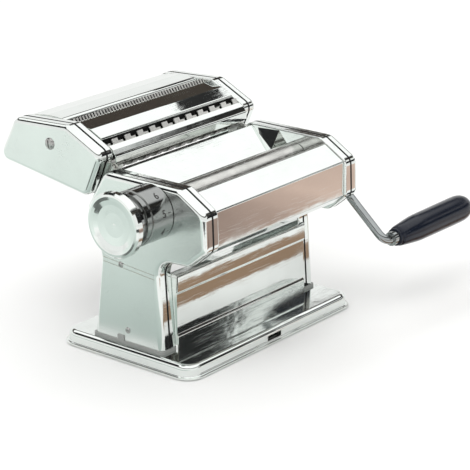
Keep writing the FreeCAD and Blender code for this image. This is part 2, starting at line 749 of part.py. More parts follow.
def make_knob():
    inner_end = index_plate_x - 0.8
    back = knob_face_x - 6.5
    dial_end = -cover_face_x - dial_length
    outer = [(-inner_end, 0.0), (-inner_end, dial_radius), (dial_end, dial_radius),
             (dial_end - 0.4, dial_radius - 0.9), (dial_end - 5.0, dial_radius - 0.9),
             (dial_end - 5.4, dial_radius - 2.6), (dial_end - 8.0, dial_radius - 2.6),
             (dial_end - 8.4, dial_radius - 1.6), (-back + 2.5, dial_radius - 1.6),
             (-back, knob_radius - 1.5), (-back, 0.0)]
    shape = turned(outer, drive_y, axis_z)
    shape = shape.cut(rod_x(dial_radius - 2.0, -web_x0, -inner_end + 1, drive_y, axis_z))
    shape = shape.cut(rod_x(regulator_radius + slide_fit, -web_x1 - 1, -web_x0 + 1, drive_y, axis_z))
    shape = shape.cut(rod_x(dial_radius - 5.5, -back - 1, -web_x1, drive_y, axis_z))
    pins = []
    for angle in (20.0, 140.0, 260.0):
        y = drive_y + index_radius * math.cos(math.radians(angle))
        z = axis_z + index_radius * math.sin(math.radians(angle))
        pins.append(rod_x(1.5, -web_x0, -index_plate_x - 0.35, y, z))
    parts["knob_body"] = fuse_all([shape] + pins)
    face = -knob_face_x
    cap = [(-back, 0.0), (-back, knob_radius - 0.6), (-back - 0.8, knob_radius), (face + 1.6, knob_radius),
           (face + 0.2, knob_radius - 1.4), (face, knob_radius - 3.0), (face + 0.5, knob_radius - 5.5),
           (face + 1.6, knob_radius - 9.0), (face + 2.2, knob_radius - 15.0), (face + 2.4, 0.0)]
    parts["knob_cap"] = turned(cap, drive_y, axis_z)


def make_spring():
    """Coil that holds the knob in; it is squeezed when the knob is pulled."""
    wire = 0.6
    radius = regulator_radius + 2.0
    x0 = web_x1 + wire + 0.05
    length = retainer_x - web_x1 - 2 * wire - 0.1
    turns = 4
    helix = Part.makeHelix(length / turns, length, radius)
    section = Part.Wire([Part.makeCircle(wire, vec(radius, 0, 0), vec(0, 1, 0))])
    coil = Part.Wire(helix).makePipeShell([section], True, True)
    coil.rotate(vec(0, 0, 0), vec(0, 1, 0), -90)
    coil.translate(vec(-x0, drive_y, axis_z))
    parts["knob_spring"] = coil


# ---- crank ------------------------------------------------------------------------------------------------------
crank_plane_x = cover_face_x + crank_standoff
grip_start_x = crank_plane_x + grip_gap
crank_dy = -crank_reach * math.cos(math.radians(crank_angle))
crank_dz = -crank_reach * math.sin(math.radians(crank_angle))
grip_y = drive_y + crank_dy
grip_z = axis_z + crank_dz
grip_end_x = grip_start_x + grip_length


def make_crank():
    start = vec(drive_end_x - crank_socket_depth + 1.0, drive_y, axis_z)
    elbow = vec(crank_plane_x, drive_y, axis_z)
    wrist = vec(crank_plane_x, grip_y, grip_z)
    end = vec(grip_end_x - 9.0, grip_y, grip_z)
    down = (wrist - elbow).normalize()
    right = vec(1, 0, 0)
    edges = [Part.LineSegment(start, elbow - right * crank_bend).toShape()]
    first = elbow + (down - right) * crank_bend
    middle = first + (right - down).normalize() * crank_bend
    edges.append(Part.Arc(elbow - right * crank_bend, middle, elbow + down * crank_bend).toShape())
    edges.append(Part.LineSegment(elbow + down * crank_bend, wrist - down * crank_bend).toShape())
    second = wrist + (right - down) * crank_bend
    middle = second + (down - right).normalize() * crank_bend
    edges.append(Part.Arc(wrist - down * crank_bend, middle, wrist + right * crank_bend).toShape())
    edges.append(Part.LineSegment(wrist + right * crank_bend, end).toShape())
    section = Part.Wire([Part.makeCircle(crank_rod_radius, start, right)])
    rod = Part.Wire(edges).makePipeShell([section], True, True)
    head = rod_x(crank_rod_radius + 2.2, end.x, end.x + 1.6, grip_y, grip_z)
    collar = rod_x(crank_rod_radius + 2.0, crank_plane_x + crank_bend + 0.6, grip_start_x - 0.3,
                   grip_y, grip_z)
    parts["crank_rod"] = fuse_all([rod, head, collar])


def make_grip():
    bore = crank_rod_radius + 0.15
    stations = [(0.0, 6.6), (0.6, 7.0), (2.6, 7.0), (3.0, 7.9), (9.0, 8.7), (28.0, 9.8), (52.0, 10.6),
                (72.0, grip_radius), (86.0, grip_radius - 0.2), (93.0, grip_radius - 1.4),
                (97.0, grip_radius - 3.6), (grip_length, grip_radius - 6.6)]
    profile_points = [vec(grip_start_x + x, grip_y + r, grip_z) for x, r in stations[3:]]
    flare = Part.BSplineCurve()
    flare.interpolate(profile_points)
    base = [vec(grip_start_x + x, grip_y + r, grip_z) for x, r in stations[2:4]]
    axis_a = vec(grip_start_x + stations[2][0], grip_y, grip_z)
    axis_b = vec(grip_end_x, grip_y, grip_z)
    edges = [Part.LineSegment(axis_a, base[0]).toShape(), Part.LineSegment(base[0], base[1]).toShape(),
             flare.toShape(), Part.LineSegment(profile_points[-1], axis_b).toShape(),
             Part.LineSegment(axis_b, axis_a).toShape()]
    solid = Part.Face(Part.Wire(edges)).revolve(vec(0, grip_y, grip_z), vec(1, 0, 0), 360)
    hollow = rod_x(bore, grip_start_x - 1, grip_end_x - 9.3, grip_y, grip_z)
    pocket = rod_x(crank_rod_radius + 2.8, grip_end_x - 9.4, grip_end_x - 6.5, grip_y, grip_z)
    parts["crank_grip"] = solid.cut(hollow).cut(pocket)
    ring = tube_x(7.0, bore, grip_start_x, grip_start_x + stations[2][0], grip_y, grip_z)
    parts["grip_end_ring"] = soften(ring, grip_start_x, 0.5)


# ---- cutter head ----------------------------------------------------------------------------------------------------
roller_end = roller_width / 2 - 0.2
wide_rear_y = wide_front_y + tilt_y
wide_rear_z = wide_front_z + tilt_z
fine_rear_y = fine_front_y + tilt_y
fine_rear_z = fine_front_z + tilt_z
cutter_journal = 4.0
cutter_socket_journal = 6.0
head_gear_teeth = 12
gear_face = 4.2
wide_gear_x = plate_out_x + 0.9
fine_gear_x = wide_gear_x + gear_face + 1.0     # the two pairs of gears pass each other side by side
cutter_pairs = {"wide": (wide_front_y, wide_front_z, wide_rear_y, wide_rear_z, wide_pitch, wide_gear_x),
                "fine": (fine_front_y, fine_front_z, fine_rear_y, fine_rear_z, fine_pitch, fine_gear_x)}


def make_head_frames():
    for side, name in ((-1, "left"), (1, "right")):
        shape = pan(head_points, head_radii, seam_x - seam_gap, plate_x, cover_sheet, plate_sheet,
                    plate_edge_radius)
        cover = pan(head_points, head_radii, seam_x + seam_gap, cover_face_x, cover_sheet, cover_sheet,
                    cover_edge_radius)
        for fy, fz, ry, rz, _, _ in cutter_pairs.values():
            front = cutter_socket_journal if side > 0 else cutter_journal
            shape = shape.cut(rod_x(front + running_fit, plate_x - through, plate_out_x + through, fy, fz))
            shape = shape.cut(rod_x(cutter_journal + running_fit, plate_x - through, plate_out_x + through, ry, rz))
            if side > 0:
                cover = cover.cut(rod_x(cutter_socket_journal + 0.6, cover_in_x - through, cover_face_x + 1, fy, fz))
        for y, z in head_rod_places:
            shape = shape.cut(rod_x(head_rod_radius * screw_neck, plate_x - through, plate_out_x + through, y, z))
        y, z = left_head_screw if side < 0 else right_head_screw
        cover = cover.cut(rod_x(2.0, cover_in_x - through, cover_face_x + 1, y, z))
        shape = shape if side > 0 else mirrored(shape)
        cover = cover if side > 0 else mirrored(cover)
        parts[name + "_head_plate"] = shape
        parts[name + "_head_cover"] = cover


def make_head_fixings():
    screws = []
    for side, place in ((-1, left_head_screw), (1, right_head_screw)):
        y, z = place
        x0, x1 = sorted((side * plate_out_x, side * cover_in_x))
        screw = screw_x(4.4, 1.8, side * cover_face_x, side * cover_in_x, y, z)
        screws.append(fuse_all([screw, rod_x(2.2, x0, x1, y, z)]))
    parts["head_cover_screws"] = group(screws)
    rods = []
    nuts = []
    neck = head_rod_radius * screw_neck
    for y, z in head_rod_places:
        rods.append(fuse_all([rod_x(head_rod_radius, -plate_x, plate_x, y, z),
                              rod_x(neck, -plate_out_x - 3.0, plate_out_x + 3.0, y, z)]))
        for side in (-1, 1):
            x0, x1 = sorted((side * plate_out_x, side * (plate_out_x + 2.4)))
            nuts.append(hex_x(6.0, x0, x1, y, z).cut(rod_x(neck, x0 - 1, x1 + 1, y, z)))
    parts["head_tie_rods"] = group(rods)
    parts["head_rod_nuts"] = group(nuts)


def cutter_roller(pitch, shift, y, z, right_journal, right_end, left_end):
    """A roller of equal discs and grooves; shift moves the discs by half a pitch."""
    side_play = 0.1 if pitch > 5 else 0.2
    disc = pitch / 2 - side_play
    core = cutter_radius - cutter_groove
    profile = [(-roller_end, 0.0), (-roller_end, core)]
    count = int(roller_end / pitch) + 2
    for i in range(-count, count + 1):
        centre = i * pitch + shift
        low = max(centre - disc / 2, -roller_end)
        high = min(centre + disc / 2, roller_end)
        if high - low > 0.3:
            profile += [(low, core), (low, cutter_radius), (high, cutter_radius), (high, core)]
    profile += [(roller_end, core), (roller_end, 0.0)]
    clean = [p for i, p in enumerate(profile) if i == 0 or p != profile[i - 1]]
    body = turned(clean, y, z)
    return fuse_all([body, rod_x(cutter_journal, -left_end, -roller_end, y, z),
                     rod_x(right_journal, roller_end, right_end, y, z)])


def make_cutters():
    for kind, (fy, fz, ry, rz, pitch, gear_at) in cutter_pairs.items():
        toward = math.degrees(math.atan2(rz - fz, ry - fy))
        front_end = cover_face_x - 0.8
        front = cutter_roller(pitch, 0.0, fy, fz, cutter_socket_journal, front_end, plate_out_x + 1.5)
        socket = rod_x(crank_socket_radius, front_end - 22.0, front_end + 1, fy, fz)
        rear = cutter_roller(pitch, pitch / 2, ry, rz, cutter_journal, gear_at + gear_face + 0.5,
                             plate_out_x + 1.5)
        parts[kind + "_cutter_front"] = front.cut(socket)
        parts[kind + "_cutter_rear"] = rear
        tip = cutter_centres / 2 + 1.3
        root = cutter_centres - tip - 0.25
        parts[kind + "_gear_front"] = gear(head_gear_teeth, cutter_centres, tip, root, 0.2,
                                           cutter_socket_journal, gear_at, gear_at + gear_face, fy, fz,
                                           toward)
        parts[kind + "_gear_rear"] = gear(head_gear_teeth, cutter_centres, tip, root, 0.2,
                                          cutter_journal, gear_at, gear_at + gear_face, ry, rz,
                                          toward + 180.0 + 180.0 / head_gear_teeth)


head_sheet = 1.0
comb_sheet = 0.8


def make_head_sheets():
    end_x = plate_x - 0.3
    rear = from_axis((98.4, 41.1), (97.2, 47.1), (116.0, 47.1), (133.6, 44.5), (150.8, 14.3))
    parts["head_rear_plate"] = bent_sheet(rear, head_sheet, 2.2, -end_x, end_x)
    ridge = from_axis((61.6, 33.3), (61.4, 38.6), (72.0, 43.8), (88.2, 45.5))
    parts["head_ridge_cover"] = bent_sheet(ridge, head_sheet, 1.2, -end_x, end_x)
    front = from_axis((47.0, 21.8), (47.6, 28.1), (51.0, 32.1), (54.4, 34.2))
    parts["head_front_plate"] = bent_sheet(front, head_sheet, 2.6, -end_x, end_x)


def comb(points, pitch, tooth_share, step_share, step_reach):
    """A sheet comb: a strip whose far edge turns up into a tooth and a lower step at each pitch.

    points are three (y, z) places: the strip's two edges and the tip of a tooth.
    """
    root, tip = [vec(0, *p) for p in points[1:]]
    step = root + (tip - root) * step_reach
    pieces = [thick_line(points[0], points[1], comb_sheet, -roller_end, roller_end)]
    count = int(roller_end / pitch) + 1
    for i in range(-count, count + 1):
        x0 = i * pitch
        x1 = x0 + pitch * tooth_share
        x2 = x1 + pitch * step_share
        for top, low, high in ((tip, x0, x1), (step, x1, x2)):
            low, high = max(low, -roller_end), min(high, roller_end)
            if high - low > 0.4:
                pieces.append(thick_line((root.y, root.z), (top.y, top.z), comb_sheet, low, high))
    return fuse_all(pieces)


def make_combs():
    wide = from_axis((52.55, 31.15), (55.5, 33.0), (57.7, 37.3))
    parts["wide_comb"] = comb(wide, wide_pitch, 0.45, 0.35, 0.5)
    fine = from_axis((80.0, 43.1), (88.9, 44.0), (91.3, 47.7))
    parts["fine_comb"] = comb(fine, fine_pitch, 0.5, 0.0, 0.0)


# The head slides off along the line of its own front edge.
slide_from = vec(0, *head_points[0])
slide_to = vec(0, *head_points[4])
slide_dir = (slide_to - slide_from).normalize()


def in_slide_frame(down, out):
    """(y, z) of a point given down the slide line from its top and out towards the machine."""
    normal = vec(0, -slide_dir.z, slide_dir.y)
    place = slide_to - slide_dir * down + normal * out
    return (place.y, place.z)


def slide_block(down0, down1, out0, out1, x0, x1):
    points = [in_slide_frame(down0, out0), in_slide_frame(down1, out0),
              in_slide_frame(down1, out1), in_slide_frame(down0, out1)]
    return plate(points, [0.0] * 4, x0, x1)


def make_rails():
    rails = []
    hooks = []
    out_a = rail_out
    out_b = rail_out + rail_thickness
    flange_x = plate_x - rail_reach
    for side in (-1, 1):
        web = slide_block(rail_top + 1, rail_bottom, out_b - 0.5, out_b + 12.0, plate_x - 2.0, plate_x)
        flange = slide_block(rail_top, rail_bottom, out_a, out_b, flange_x, plate_x)
        rail = fuse_all([web, flange])
        inner_x = flange_x - hook_fit
        back_wall = slide_block(rail_top - 1.6, rail_bottom - 1, -hook_depth, out_a - hook_fit,
                                inner_x - hook_sheet, plate_x)
        side_wall = slide_block(rail_top - 1.6, rail_bottom - 1, -hook_depth, out_b + hook_fit + hook_sheet,
                                inner_x - hook_sheet, inner_x)
        lip = slide_block(rail_top - 1.6, rail_bottom - 1, out_b + hook_fit, out_b + hook_fit + hook_sheet,
                          inner_x - hook_sheet, plate_x - 2.6)
        cap = slide_block(rail_top - 1.6, rail_top - 0.3, -hook_depth, out_b + hook_fit + hook_sheet,
                          inner_x - hook_sheet, plate_x - 2.6)
        hook = fuse_all([back_wall, side_wall, lip, cap])
        if side < 0:
            rail = mirrored(rail)
            hook = mirrored(hook)
        rails.append(rail)
        hooks.append(hook)
    parts["head_rails"] = group(rails)
    parts["head_hooks"] = group(hooks)


# ---- build and write -----------------------------------------------------------------------------------------------------
make_base()
make_side_plates()
make_covers()
make_cover_fixings()
make_tie_rods()
make_leg_mounting()
make_apron()
make_hood()
make_feed()
make_rear_scraper()
make_drive_roller()
make_carriage()
make_front_roller()
make_regulator()
make_knob()
make_spring()
make_crank()
make_grip()
make_head_frames()
make_head_fixings()
make_cutters()
make_head_sheets()
make_combs()
make_rails()

os.makedirs("parts", exist_ok=True)
for name, shape in parts.items():
    shape.exportStep("parts/" + name + ".step")
    print(name, len(shape.Solids), round(shape.Volume), shape.isValid())
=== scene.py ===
# %% [markdown]
# # A hand-cranked pasta roller machine
# Two smooth rollers flatten the dough, a stepped knob at the left end sets the gap between them, and a
# lift-off head behind them cuts the sheet into wide or fine noodles. Nearly every outer face is bright
# chrome plate, which has almost no colour of its own: it looks right only when the shapes, the soft
# edges and the things it reflects are right. The solid parts come in first as a fixed frame, and this
# lesson then adds light, finishes and the small pieces that the frame leaves plain.

# %% Load the machine as a fixed frame
import bpy
import bmesh
import math
from mathutils import Matrix, Vector


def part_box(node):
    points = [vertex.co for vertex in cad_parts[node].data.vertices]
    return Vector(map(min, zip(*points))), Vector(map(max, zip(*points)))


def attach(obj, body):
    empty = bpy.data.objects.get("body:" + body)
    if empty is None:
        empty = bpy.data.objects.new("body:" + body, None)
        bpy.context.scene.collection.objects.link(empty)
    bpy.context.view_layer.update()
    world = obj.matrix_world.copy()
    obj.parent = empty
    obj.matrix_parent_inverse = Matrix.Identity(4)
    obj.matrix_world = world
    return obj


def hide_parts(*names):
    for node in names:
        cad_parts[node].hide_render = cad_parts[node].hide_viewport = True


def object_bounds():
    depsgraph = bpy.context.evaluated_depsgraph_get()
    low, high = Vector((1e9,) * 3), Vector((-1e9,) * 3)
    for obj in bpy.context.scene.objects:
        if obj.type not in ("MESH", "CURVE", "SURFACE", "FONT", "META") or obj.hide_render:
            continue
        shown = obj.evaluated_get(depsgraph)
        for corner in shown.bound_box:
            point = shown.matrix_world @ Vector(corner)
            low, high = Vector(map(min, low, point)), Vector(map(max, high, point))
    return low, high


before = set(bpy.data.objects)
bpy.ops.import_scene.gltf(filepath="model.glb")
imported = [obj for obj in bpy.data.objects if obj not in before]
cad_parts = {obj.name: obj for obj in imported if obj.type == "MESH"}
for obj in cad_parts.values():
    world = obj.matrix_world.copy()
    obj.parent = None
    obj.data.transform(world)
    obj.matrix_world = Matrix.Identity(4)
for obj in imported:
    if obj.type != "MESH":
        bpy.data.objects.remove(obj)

frame_size = [list(corner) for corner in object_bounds()]
print("loaded", len(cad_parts), "parts; box in metres:", frame_size)

# %% [markdown]
# ## The camera
# A long lens from the knob side shows the end covers, the front hood and the tops of both heads at
# once. A long lens also keeps the left and right covers nearly the same size, as in a catalogue view.
# The camera is placed by angles and a distance, because those are easier to read than a position.

# %% Camera
view_azimuth, view_elevation, view_roll = -50.834, 19.304, -0.286
view_distance = 1.51401
look_at = Vector((0.0, 0.0, 0.080))
slide_right, slide_up = 0.01930, -0.00796
lens_mm = 153.44

turn, lift = math.radians(view_azimuth), math.radians(view_elevation)
forward = -Vector((math.sin(turn) * math.cos(lift), -math.cos(turn) * math.cos(lift), math.sin(lift)))
level = forward.cross(Vector((0, 0, 1))).normalized()
roll = Matrix.Rotation(math.radians(view_roll), 3, -forward)
right = roll @ level
up = right.cross(forward)
camera = bpy.data.objects.new("camera", bpy.data.cameras.new("camera"))
bpy.context.scene.collection.objects.link(camera)
camera.data.lens = lens_mm
camera.data.sensor_width = 36.0
camera.data.clip_start = 0.05
camera.data.clip_end = 30.0
place = look_at - forward * view_distance + right * slide_right + up * slide_up
axes = Matrix((right, up, -forward)).transposed()
camera.matrix_world = Matrix.Translation(place) @ axes.to_4x4()
bpy.context.scene.camera = camera
print("camera at", [round(c, 3) for c in place], "metres, lens", lens_mm, "mm")

# %% [markdown]
# ## Small helpers for node trees
# Materials here are built node by node in code. One helper makes a node, sets its options and wires or
# fills its inputs, so that each recipe below reads as a list of steps. A second one opens a node group
# with named inputs and outputs, which is how an effect is shared between materials.


# %% Node helpers
def add_node(tree, kind, feeds=None, **options):
    """A new node; feeds gives each input a socket to be wired to or a plain value."""
    made = tree.nodes.new(kind)
    for name, value in options.items():
        setattr(made, name, value)
    for key, value in (feeds or {}).items():
        if isinstance(value, bpy.types.NodeSocket):
            tree.links.new(value, made.inputs[key])
        else:
            made.inputs[key].default_value = value
    return made


def calc(tree, operation, a, b=0.0, clamp=False):
    made = add_node(tree, "ShaderNodeMath", {0: a, 1: b}, operation=operation, use_clamp=clamp)
    return made.outputs[0]


def vector_calc(tree, operation, a, b=(0.0, 0.0, 0.0)):
    return add_node(tree, "ShaderNodeVectorMath", {0: a, 1: b}, operation=operation)


def remap(tree, value, low, high, to_low=0.0, to_high=1.0):
    feeds = {"Value": value, "From Min": low, "From Max": high, "To Min": to_low, "To Max": to_high}
    return add_node(tree, "ShaderNodeMapRange", feeds).outputs["Result"]


def noise(tree, where, scale, detail=2.0, roughness=0.5):
    feeds = {"Vector": where, "Scale": scale, "Detail": detail, "Roughness": roughness}
    return add_node(tree, "ShaderNodeTexNoise", feeds).outputs["Fac"]


def object_place(tree):
    return add_node(tree, "ShaderNodeTexCoord").outputs["Object"]


def open_group(name, inputs, outputs):
    """A shader node group with named sockets; returns the tree, its inputs and its output node."""
    kinds = {float: "NodeSocketFloat", tuple: "NodeSocketVector"}
    tree = bpy.data.node_groups.new(name, "ShaderNodeTree")
    for label, value in inputs.items():
        socket = tree.interface.new_socket(label, in_out="INPUT", socket_type=kinds[type(value)])
        socket.default_value = value
    for label in outputs:
        tree.interface.new_socket(label, in_out="OUTPUT", socket_type="NodeSocketFloat")
    return tree, tree.nodes.new("NodeGroupInput").outputs, tree.nodes.new("NodeGroupOutput").inputs


def use_group(tree, group, **values):
    made = add_node(tree, "ShaderNodeGroup", node_tree=group)
    for label, value in values.items():
        made.inputs[label.replace("_", " ")].default_value = value
    return made.outputs


print("helpers ready")

# %% [markdown]
# ## Shared effects
# Real metal is never one even grey. Plate wears thin along folds and corners, polishing leaves hairline
# scratches, hands leave soft cloudy films, and pressed sheet is never perfectly flat, so what it reflects
# bends a little. Turned parts carry fine rings about their axis. Each of these is one small group that
# gives a value over the surface, and every finish below mixes its own amount of them.

# %% Shared effect: wear along edges
worn_edges, given, gives = open_group("worn_edges", {"Radius": 0.0006, "Patch scale": 160.0}, ["Mask"])
rounded = add_node(worn_edges, "ShaderNodeBevel", {"Radius": given["Radius"]}, samples=4)
facing = add_node(worn_edges, "ShaderNodeNewGeometry").outputs["Normal"]
agree = vector_calc(worn_edges, "DOT_PRODUCT", rounded.outputs["Normal"], facing).outputs["Value"]
edge = remap(worn_edges, calc(worn_edges, "SUBTRACT", 1.0, agree), 0.02, 0.22)
patches = noise(worn_edges, object_place(worn_edges), given["Patch scale"], 3.0)
patchy = calc(worn_edges, "MULTIPLY", edge, remap(worn_edges, patches, 0.35, 0.65, 0.25, 1.0))
worn_edges.links.new(patchy, gives["Mask"])

# %% Shared effect: hairline scratches
hairlines, given, gives = open_group("hairlines", {"Fineness": 1.0, "Least": 0.66}, ["Mask"])
strokes = []
for angle, stretch in ((0.35, 2100.0), (-0.6, 2600.0), (1.25, 1700.0)):
    spin = add_node(hairlines, "ShaderNodeMapping", {"Vector": object_place(hairlines)})
    spin.inputs["Rotation"].default_value = (angle, angle * 0.7, angle)
    spin.inputs["Scale"].default_value = (28.0, stretch, stretch)
    strokes.append(noise(hairlines, spin.outputs[0], given["Fineness"], 1.0))
most = calc(hairlines, "MAXIMUM", calc(hairlines, "MAXIMUM", strokes[0], strokes[1]), strokes[2])
over = calc(hairlines, "SUBTRACT", most, given["Least"])
hairlines.links.new(calc(hairlines, "MULTIPLY", over, 9.0, clamp=True), gives["Mask"])

# %% Shared effect: cloudy films left by hands and cloths
films, given, gives = open_group("films", {"Scale": 24.0}, ["Mask"])
clouds = noise(films, object_place(films), given["Scale"], 4.0, 0.62)
specks = noise(films, object_place(films), calc(films, "MULTIPLY", given["Scale"], 21.0), 2.0)
cloudy = calc(films, "MULTIPLY", remap(films, clouds, 0.42, 0.72), remap(films, specks, 0.3, 0.7, 0.6, 1.0))
films.links.new(cloudy, gives["Mask"])

# %% Shared effect: the slight waviness of pressed sheet
pressed_waves, given, gives = open_group("pressed_waves", {"Scale": 22.0}, ["Height"])
slow = noise(pressed_waves, object_place(pressed_waves), given["Scale"], 1.0, 0.3)
finer = calc(pressed_waves, "MULTIPLY", given["Scale"], 5.0)
quick = noise(pressed_waves, object_place(pressed_waves), finer, 1.0)
waves = calc(pressed_waves, "ADD", slow, calc(pressed_waves, "MULTIPLY", quick, 0.12))
pressed_waves.links.new(waves, gives["Height"])

# %% Shared effect: fine rings left by turning
ring_inputs = {"Axis point": (0.0, 0.0, 0.0), "Fineness": 1.0}
turned_rings, given, gives = open_group("turned_rings", ring_inputs, ["Height"])
away = vector_calc(turned_rings, "SUBTRACT", object_place(turned_rings), given["Axis point"]).outputs[0]
flat = vector_calc(turned_rings, "MULTIPLY", away, (0.0, 1.0, 1.0)).outputs[0]
reach = vector_calc(turned_rings, "LENGTH", flat).outputs["Value"]
along = add_node(turned_rings, "ShaderNodeSeparateXYZ", {0: away}).outputs["X"]
row = calc(turned_rings, "ADD", calc(turned_rings, "MULTIPLY", reach, 3400.0),
           calc(turned_rings, "MULTIPLY", along, 3900.0))
line_feeds = {"W": calc(turned_rings, "MULTIPLY", row, given["Fineness"]), "Scale": 1.0, "Detail": 3.0}
lines = add_node(turned_rings, "ShaderNodeTexNoise", line_feeds, noise_dimensions="1D").outputs["Fac"]
turned_rings.links.new(lines, gives["Height"])

# %% Shared effect: brushed end faces
brushed_faces, given, gives = open_group("brushed_faces", {"Streak scale": 2600.0}, ["Mask", "Height"])
outward = add_node(brushed_faces, "ShaderNodeNewGeometry").outputs["Normal"]
outward_x = add_node(brushed_faces, "ShaderNodeSeparateXYZ", {0: outward}).outputs["X"]
sideways = calc(brushed_faces, "ABSOLUTE", outward_x)
on_face = remap(brushed_faces, sideways, 0.985, 0.999)
brushed_faces.links.new(on_face, gives["Mask"])
strokes_at = vector_calc(brushed_faces, "MULTIPLY", object_place(brushed_faces), (1.0, 0.018, 1.0)).outputs[0]
streaks = noise(brushed_faces, strokes_at, given["Streak scale"], 2.0, 0.6)
brushed_faces.links.new(calc(brushed_faces, "MULTIPLY", streaks, on_face), gives["Height"])
print("shared effects:", sorted(g.name for g in bpy.data.node_groups))


# %% [markdown]
# ## Finishes
# A metal in a path tracer is a Principled shader with Metallic at 1: its Base Color is the tint of its
# reflection, and Roughness says how sharp that reflection is. One recipe serves all the metals here.
# It takes a clean tint and a worn tint, a low and a high roughness, and how strongly waves, rings and
# scratches dent the surface. A single recipe keeps chrome, ground steel and zinc alike where they
# should be alike, and every number that differs is visible in one table.


# %% The metal recipe
def blend_tint(tree, amount, first, second):
    made = add_node(tree, "ShaderNodeMix", {"Factor": amount}, data_type="RGBA")
    for socket, value in ((made.inputs[6], first), (made.inputs[7], second)):
        if isinstance(value, bpy.types.NodeSocket):
            tree.links.new(value, socket)
        else:
            socket.default_value = (*value, 1.0)
    return made.outputs[2]


def open_material(name):
    material = bpy.data.materials.new(name)
    material.use_nodes = True
    tree = material.node_tree
    return material, tree, tree.nodes["Principled BSDF"]


def dent(tree, height, distance, strength, before=None):
    """One Bump step; several may be chained through before."""
    bump = add_node(tree, "ShaderNodeBump", {"Height": height, "Distance": distance, "Strength": strength})
    if before is not None:
        tree.links.new(before, bump.inputs["Normal"])
    return bump.outputs["Normal"]


def metal(name, tint, worn_tint, rough, film, film_scale, wave, scratch, wear_radius, rings=None, satin=None):
    """A plated or bare metal; rings is (axis point, fineness, depth) for a turned part.

    satin is (added roughness, streak depth) for a part whose end faces are brushed.
    """
    material, tree, shader = open_material(name)
    shader.inputs["Metallic"].default_value = 1.0
    wear = use_group(tree, worn_edges, Radius=wear_radius)["Mask"]
    cloudy = use_group(tree, films, Scale=film_scale)["Mask"]
    hair = use_group(tree, hairlines)["Mask"]
    dulled = tuple(c * 0.86 for c in tint)
    colour = blend_tint(tree, calc(tree, "MULTIPLY", cloudy, film), tint, dulled)
    colour = blend_tint(tree, wear, colour, worn_tint)
    tree.links.new(colour, shader.inputs["Base Color"])
    low, high = rough
    spread = calc(tree, "MULTIPLY", cloudy, (high - low) * film)
    spread = calc(tree, "ADD", spread, calc(tree, "MULTIPLY", hair, (high - low) * scratch))
    spread = calc(tree, "ADD", spread, calc(tree, "MULTIPLY", wear, (high - low) * 0.8))
    normal = dent(tree, use_group(tree, pressed_waves)["Height"], 0.0011, wave)
    if satin is not None:
        brushed = use_group(tree, brushed_faces)
        spread = calc(tree, "ADD", spread, calc(tree, "MULTIPLY", brushed["Mask"], satin[0]))
        normal = dent(tree, brushed["Height"], 0.00001, satin[1], normal)
    tree.links.new(calc(tree, "ADD", spread, low, clamp=True), shader.inputs["Roughness"])
    if rings is not None:
        centre, fineness, depth = rings
        group = use_group(tree, turned_rings, Axis_point=centre, Fineness=fineness)
        normal = dent(tree, group["Height"], 0.00005, depth, normal)
    normal = dent(tree, hair, 0.000012, scratch, normal)
    tree.links.new(normal, shader.inputs["Normal"])
    return material


# %% Chrome, steel, zinc and brass
roller_place = (0.0, -0.023, 0.1195)
chrome_tint, nickel_tint = (0.80, 0.835, 0.815), (0.80, 0.75, 0.65)
chrome_plate = metal("chrome_plate", chrome_tint, nickel_tint, (0.035, 0.20), 0.45, 24.0, 0.22, 0.35, 0.0005)
satin_chrome = metal("satin_chrome_covers", chrome_tint, nickel_tint, (0.05, 0.20), 0.45, 24.0, 0.12,
                     0.35, 0.0005, satin=(0.17, 0.25))
chrome_turned = metal("chrome_turned", chrome_tint, nickel_tint, (0.05, 0.24), 0.5, 40.0, 0.05, 0.4, 0.0004,
                      rings=(roller_place, 1.0, 0.10))
# The knob's side is tinted darker than plate, to stand for the dark half of a room that it would mirror.
knob_chrome = metal("knob_chrome", (0.33, 0.34, 0.335), (0.36, 0.34, 0.30), (0.06, 0.24), 0.6, 40.0,
                    0.08, 0.5, 0.0004, rings=(roller_place, 1.0, 0.10))
# The crank rod is tinted darker than plate as well: a painted reflection of the dark half of a room.
crank_chrome = metal("crank_rod_chrome", (0.36, 0.38, 0.385), (0.55, 0.52, 0.46), (0.05, 0.22), 0.6, 70.0,
                     0.10, 0.5, 0.0005)
roller_steel = metal("ground_steel", (0.66, 0.66, 0.635), (0.78, 0.77, 0.74), (0.16, 0.40), 0.7, 60.0, 0.05,
                     0.7, 0.0004, rings=(roller_place, 0.6, 0.22))
# The cutters are tinted far darker than bare steel: painted shade, for the dark inside of the head's slots.
cutter_steel = metal("oiled_cutter_steel", (0.20, 0.195, 0.185), (0.38, 0.37, 0.35), (0.20, 0.44), 0.7, 110.0,
                     0.04, 0.6, 0.0003, rings=((0.0, 0.0505, 0.145), 0.5, 0.15))
comb_steel = metal("comb_steel", (0.95, 0.95, 0.92), (0.92, 0.91, 0.88), (0.28, 0.46), 0.6, 80.0, 0.10,
                   0.8, 0.0003)
zinc_plate = metal("zinc_plate", (0.56, 0.565, 0.56), (0.40, 0.38, 0.35), (0.26, 0.52), 0.8, 90.0, 0.08,
                   0.6, 0.0004)
gear_steel = metal("oiled_gear_steel", (0.33, 0.32, 0.30), (0.55, 0.54, 0.52), (0.24, 0.48), 0.8, 120.0, 0.05,
                   0.6, 0.0004)
bush_brass = metal("turned_brass", (0.74, 0.54, 0.24), (0.86, 0.70, 0.42), (0.20, 0.44), 0.8, 90.0, 0.04,
                   0.5, 0.0003, rings=(roller_place, 0.8, 0.25))
screw_nickel = metal("screw_nickel", (0.44, 0.44, 0.43), (0.34, 0.31, 0.27), (0.10, 0.32), 0.7, 160.0, 0.05,
                     0.6, 0.0003)
print("metals ready")

# %% [markdown]
# The crank's grip is hard black moulding with a bluish cast: satin where the hand polishes it least,
# shinier along its length, with a very fine orange-peel grain and a parting line down each side. The
# feet are matt rubber and the strip under each leg is grey moulding. None of these is a metal, so one
# recipe with a dark Base Color, a grain and a coat is enough.


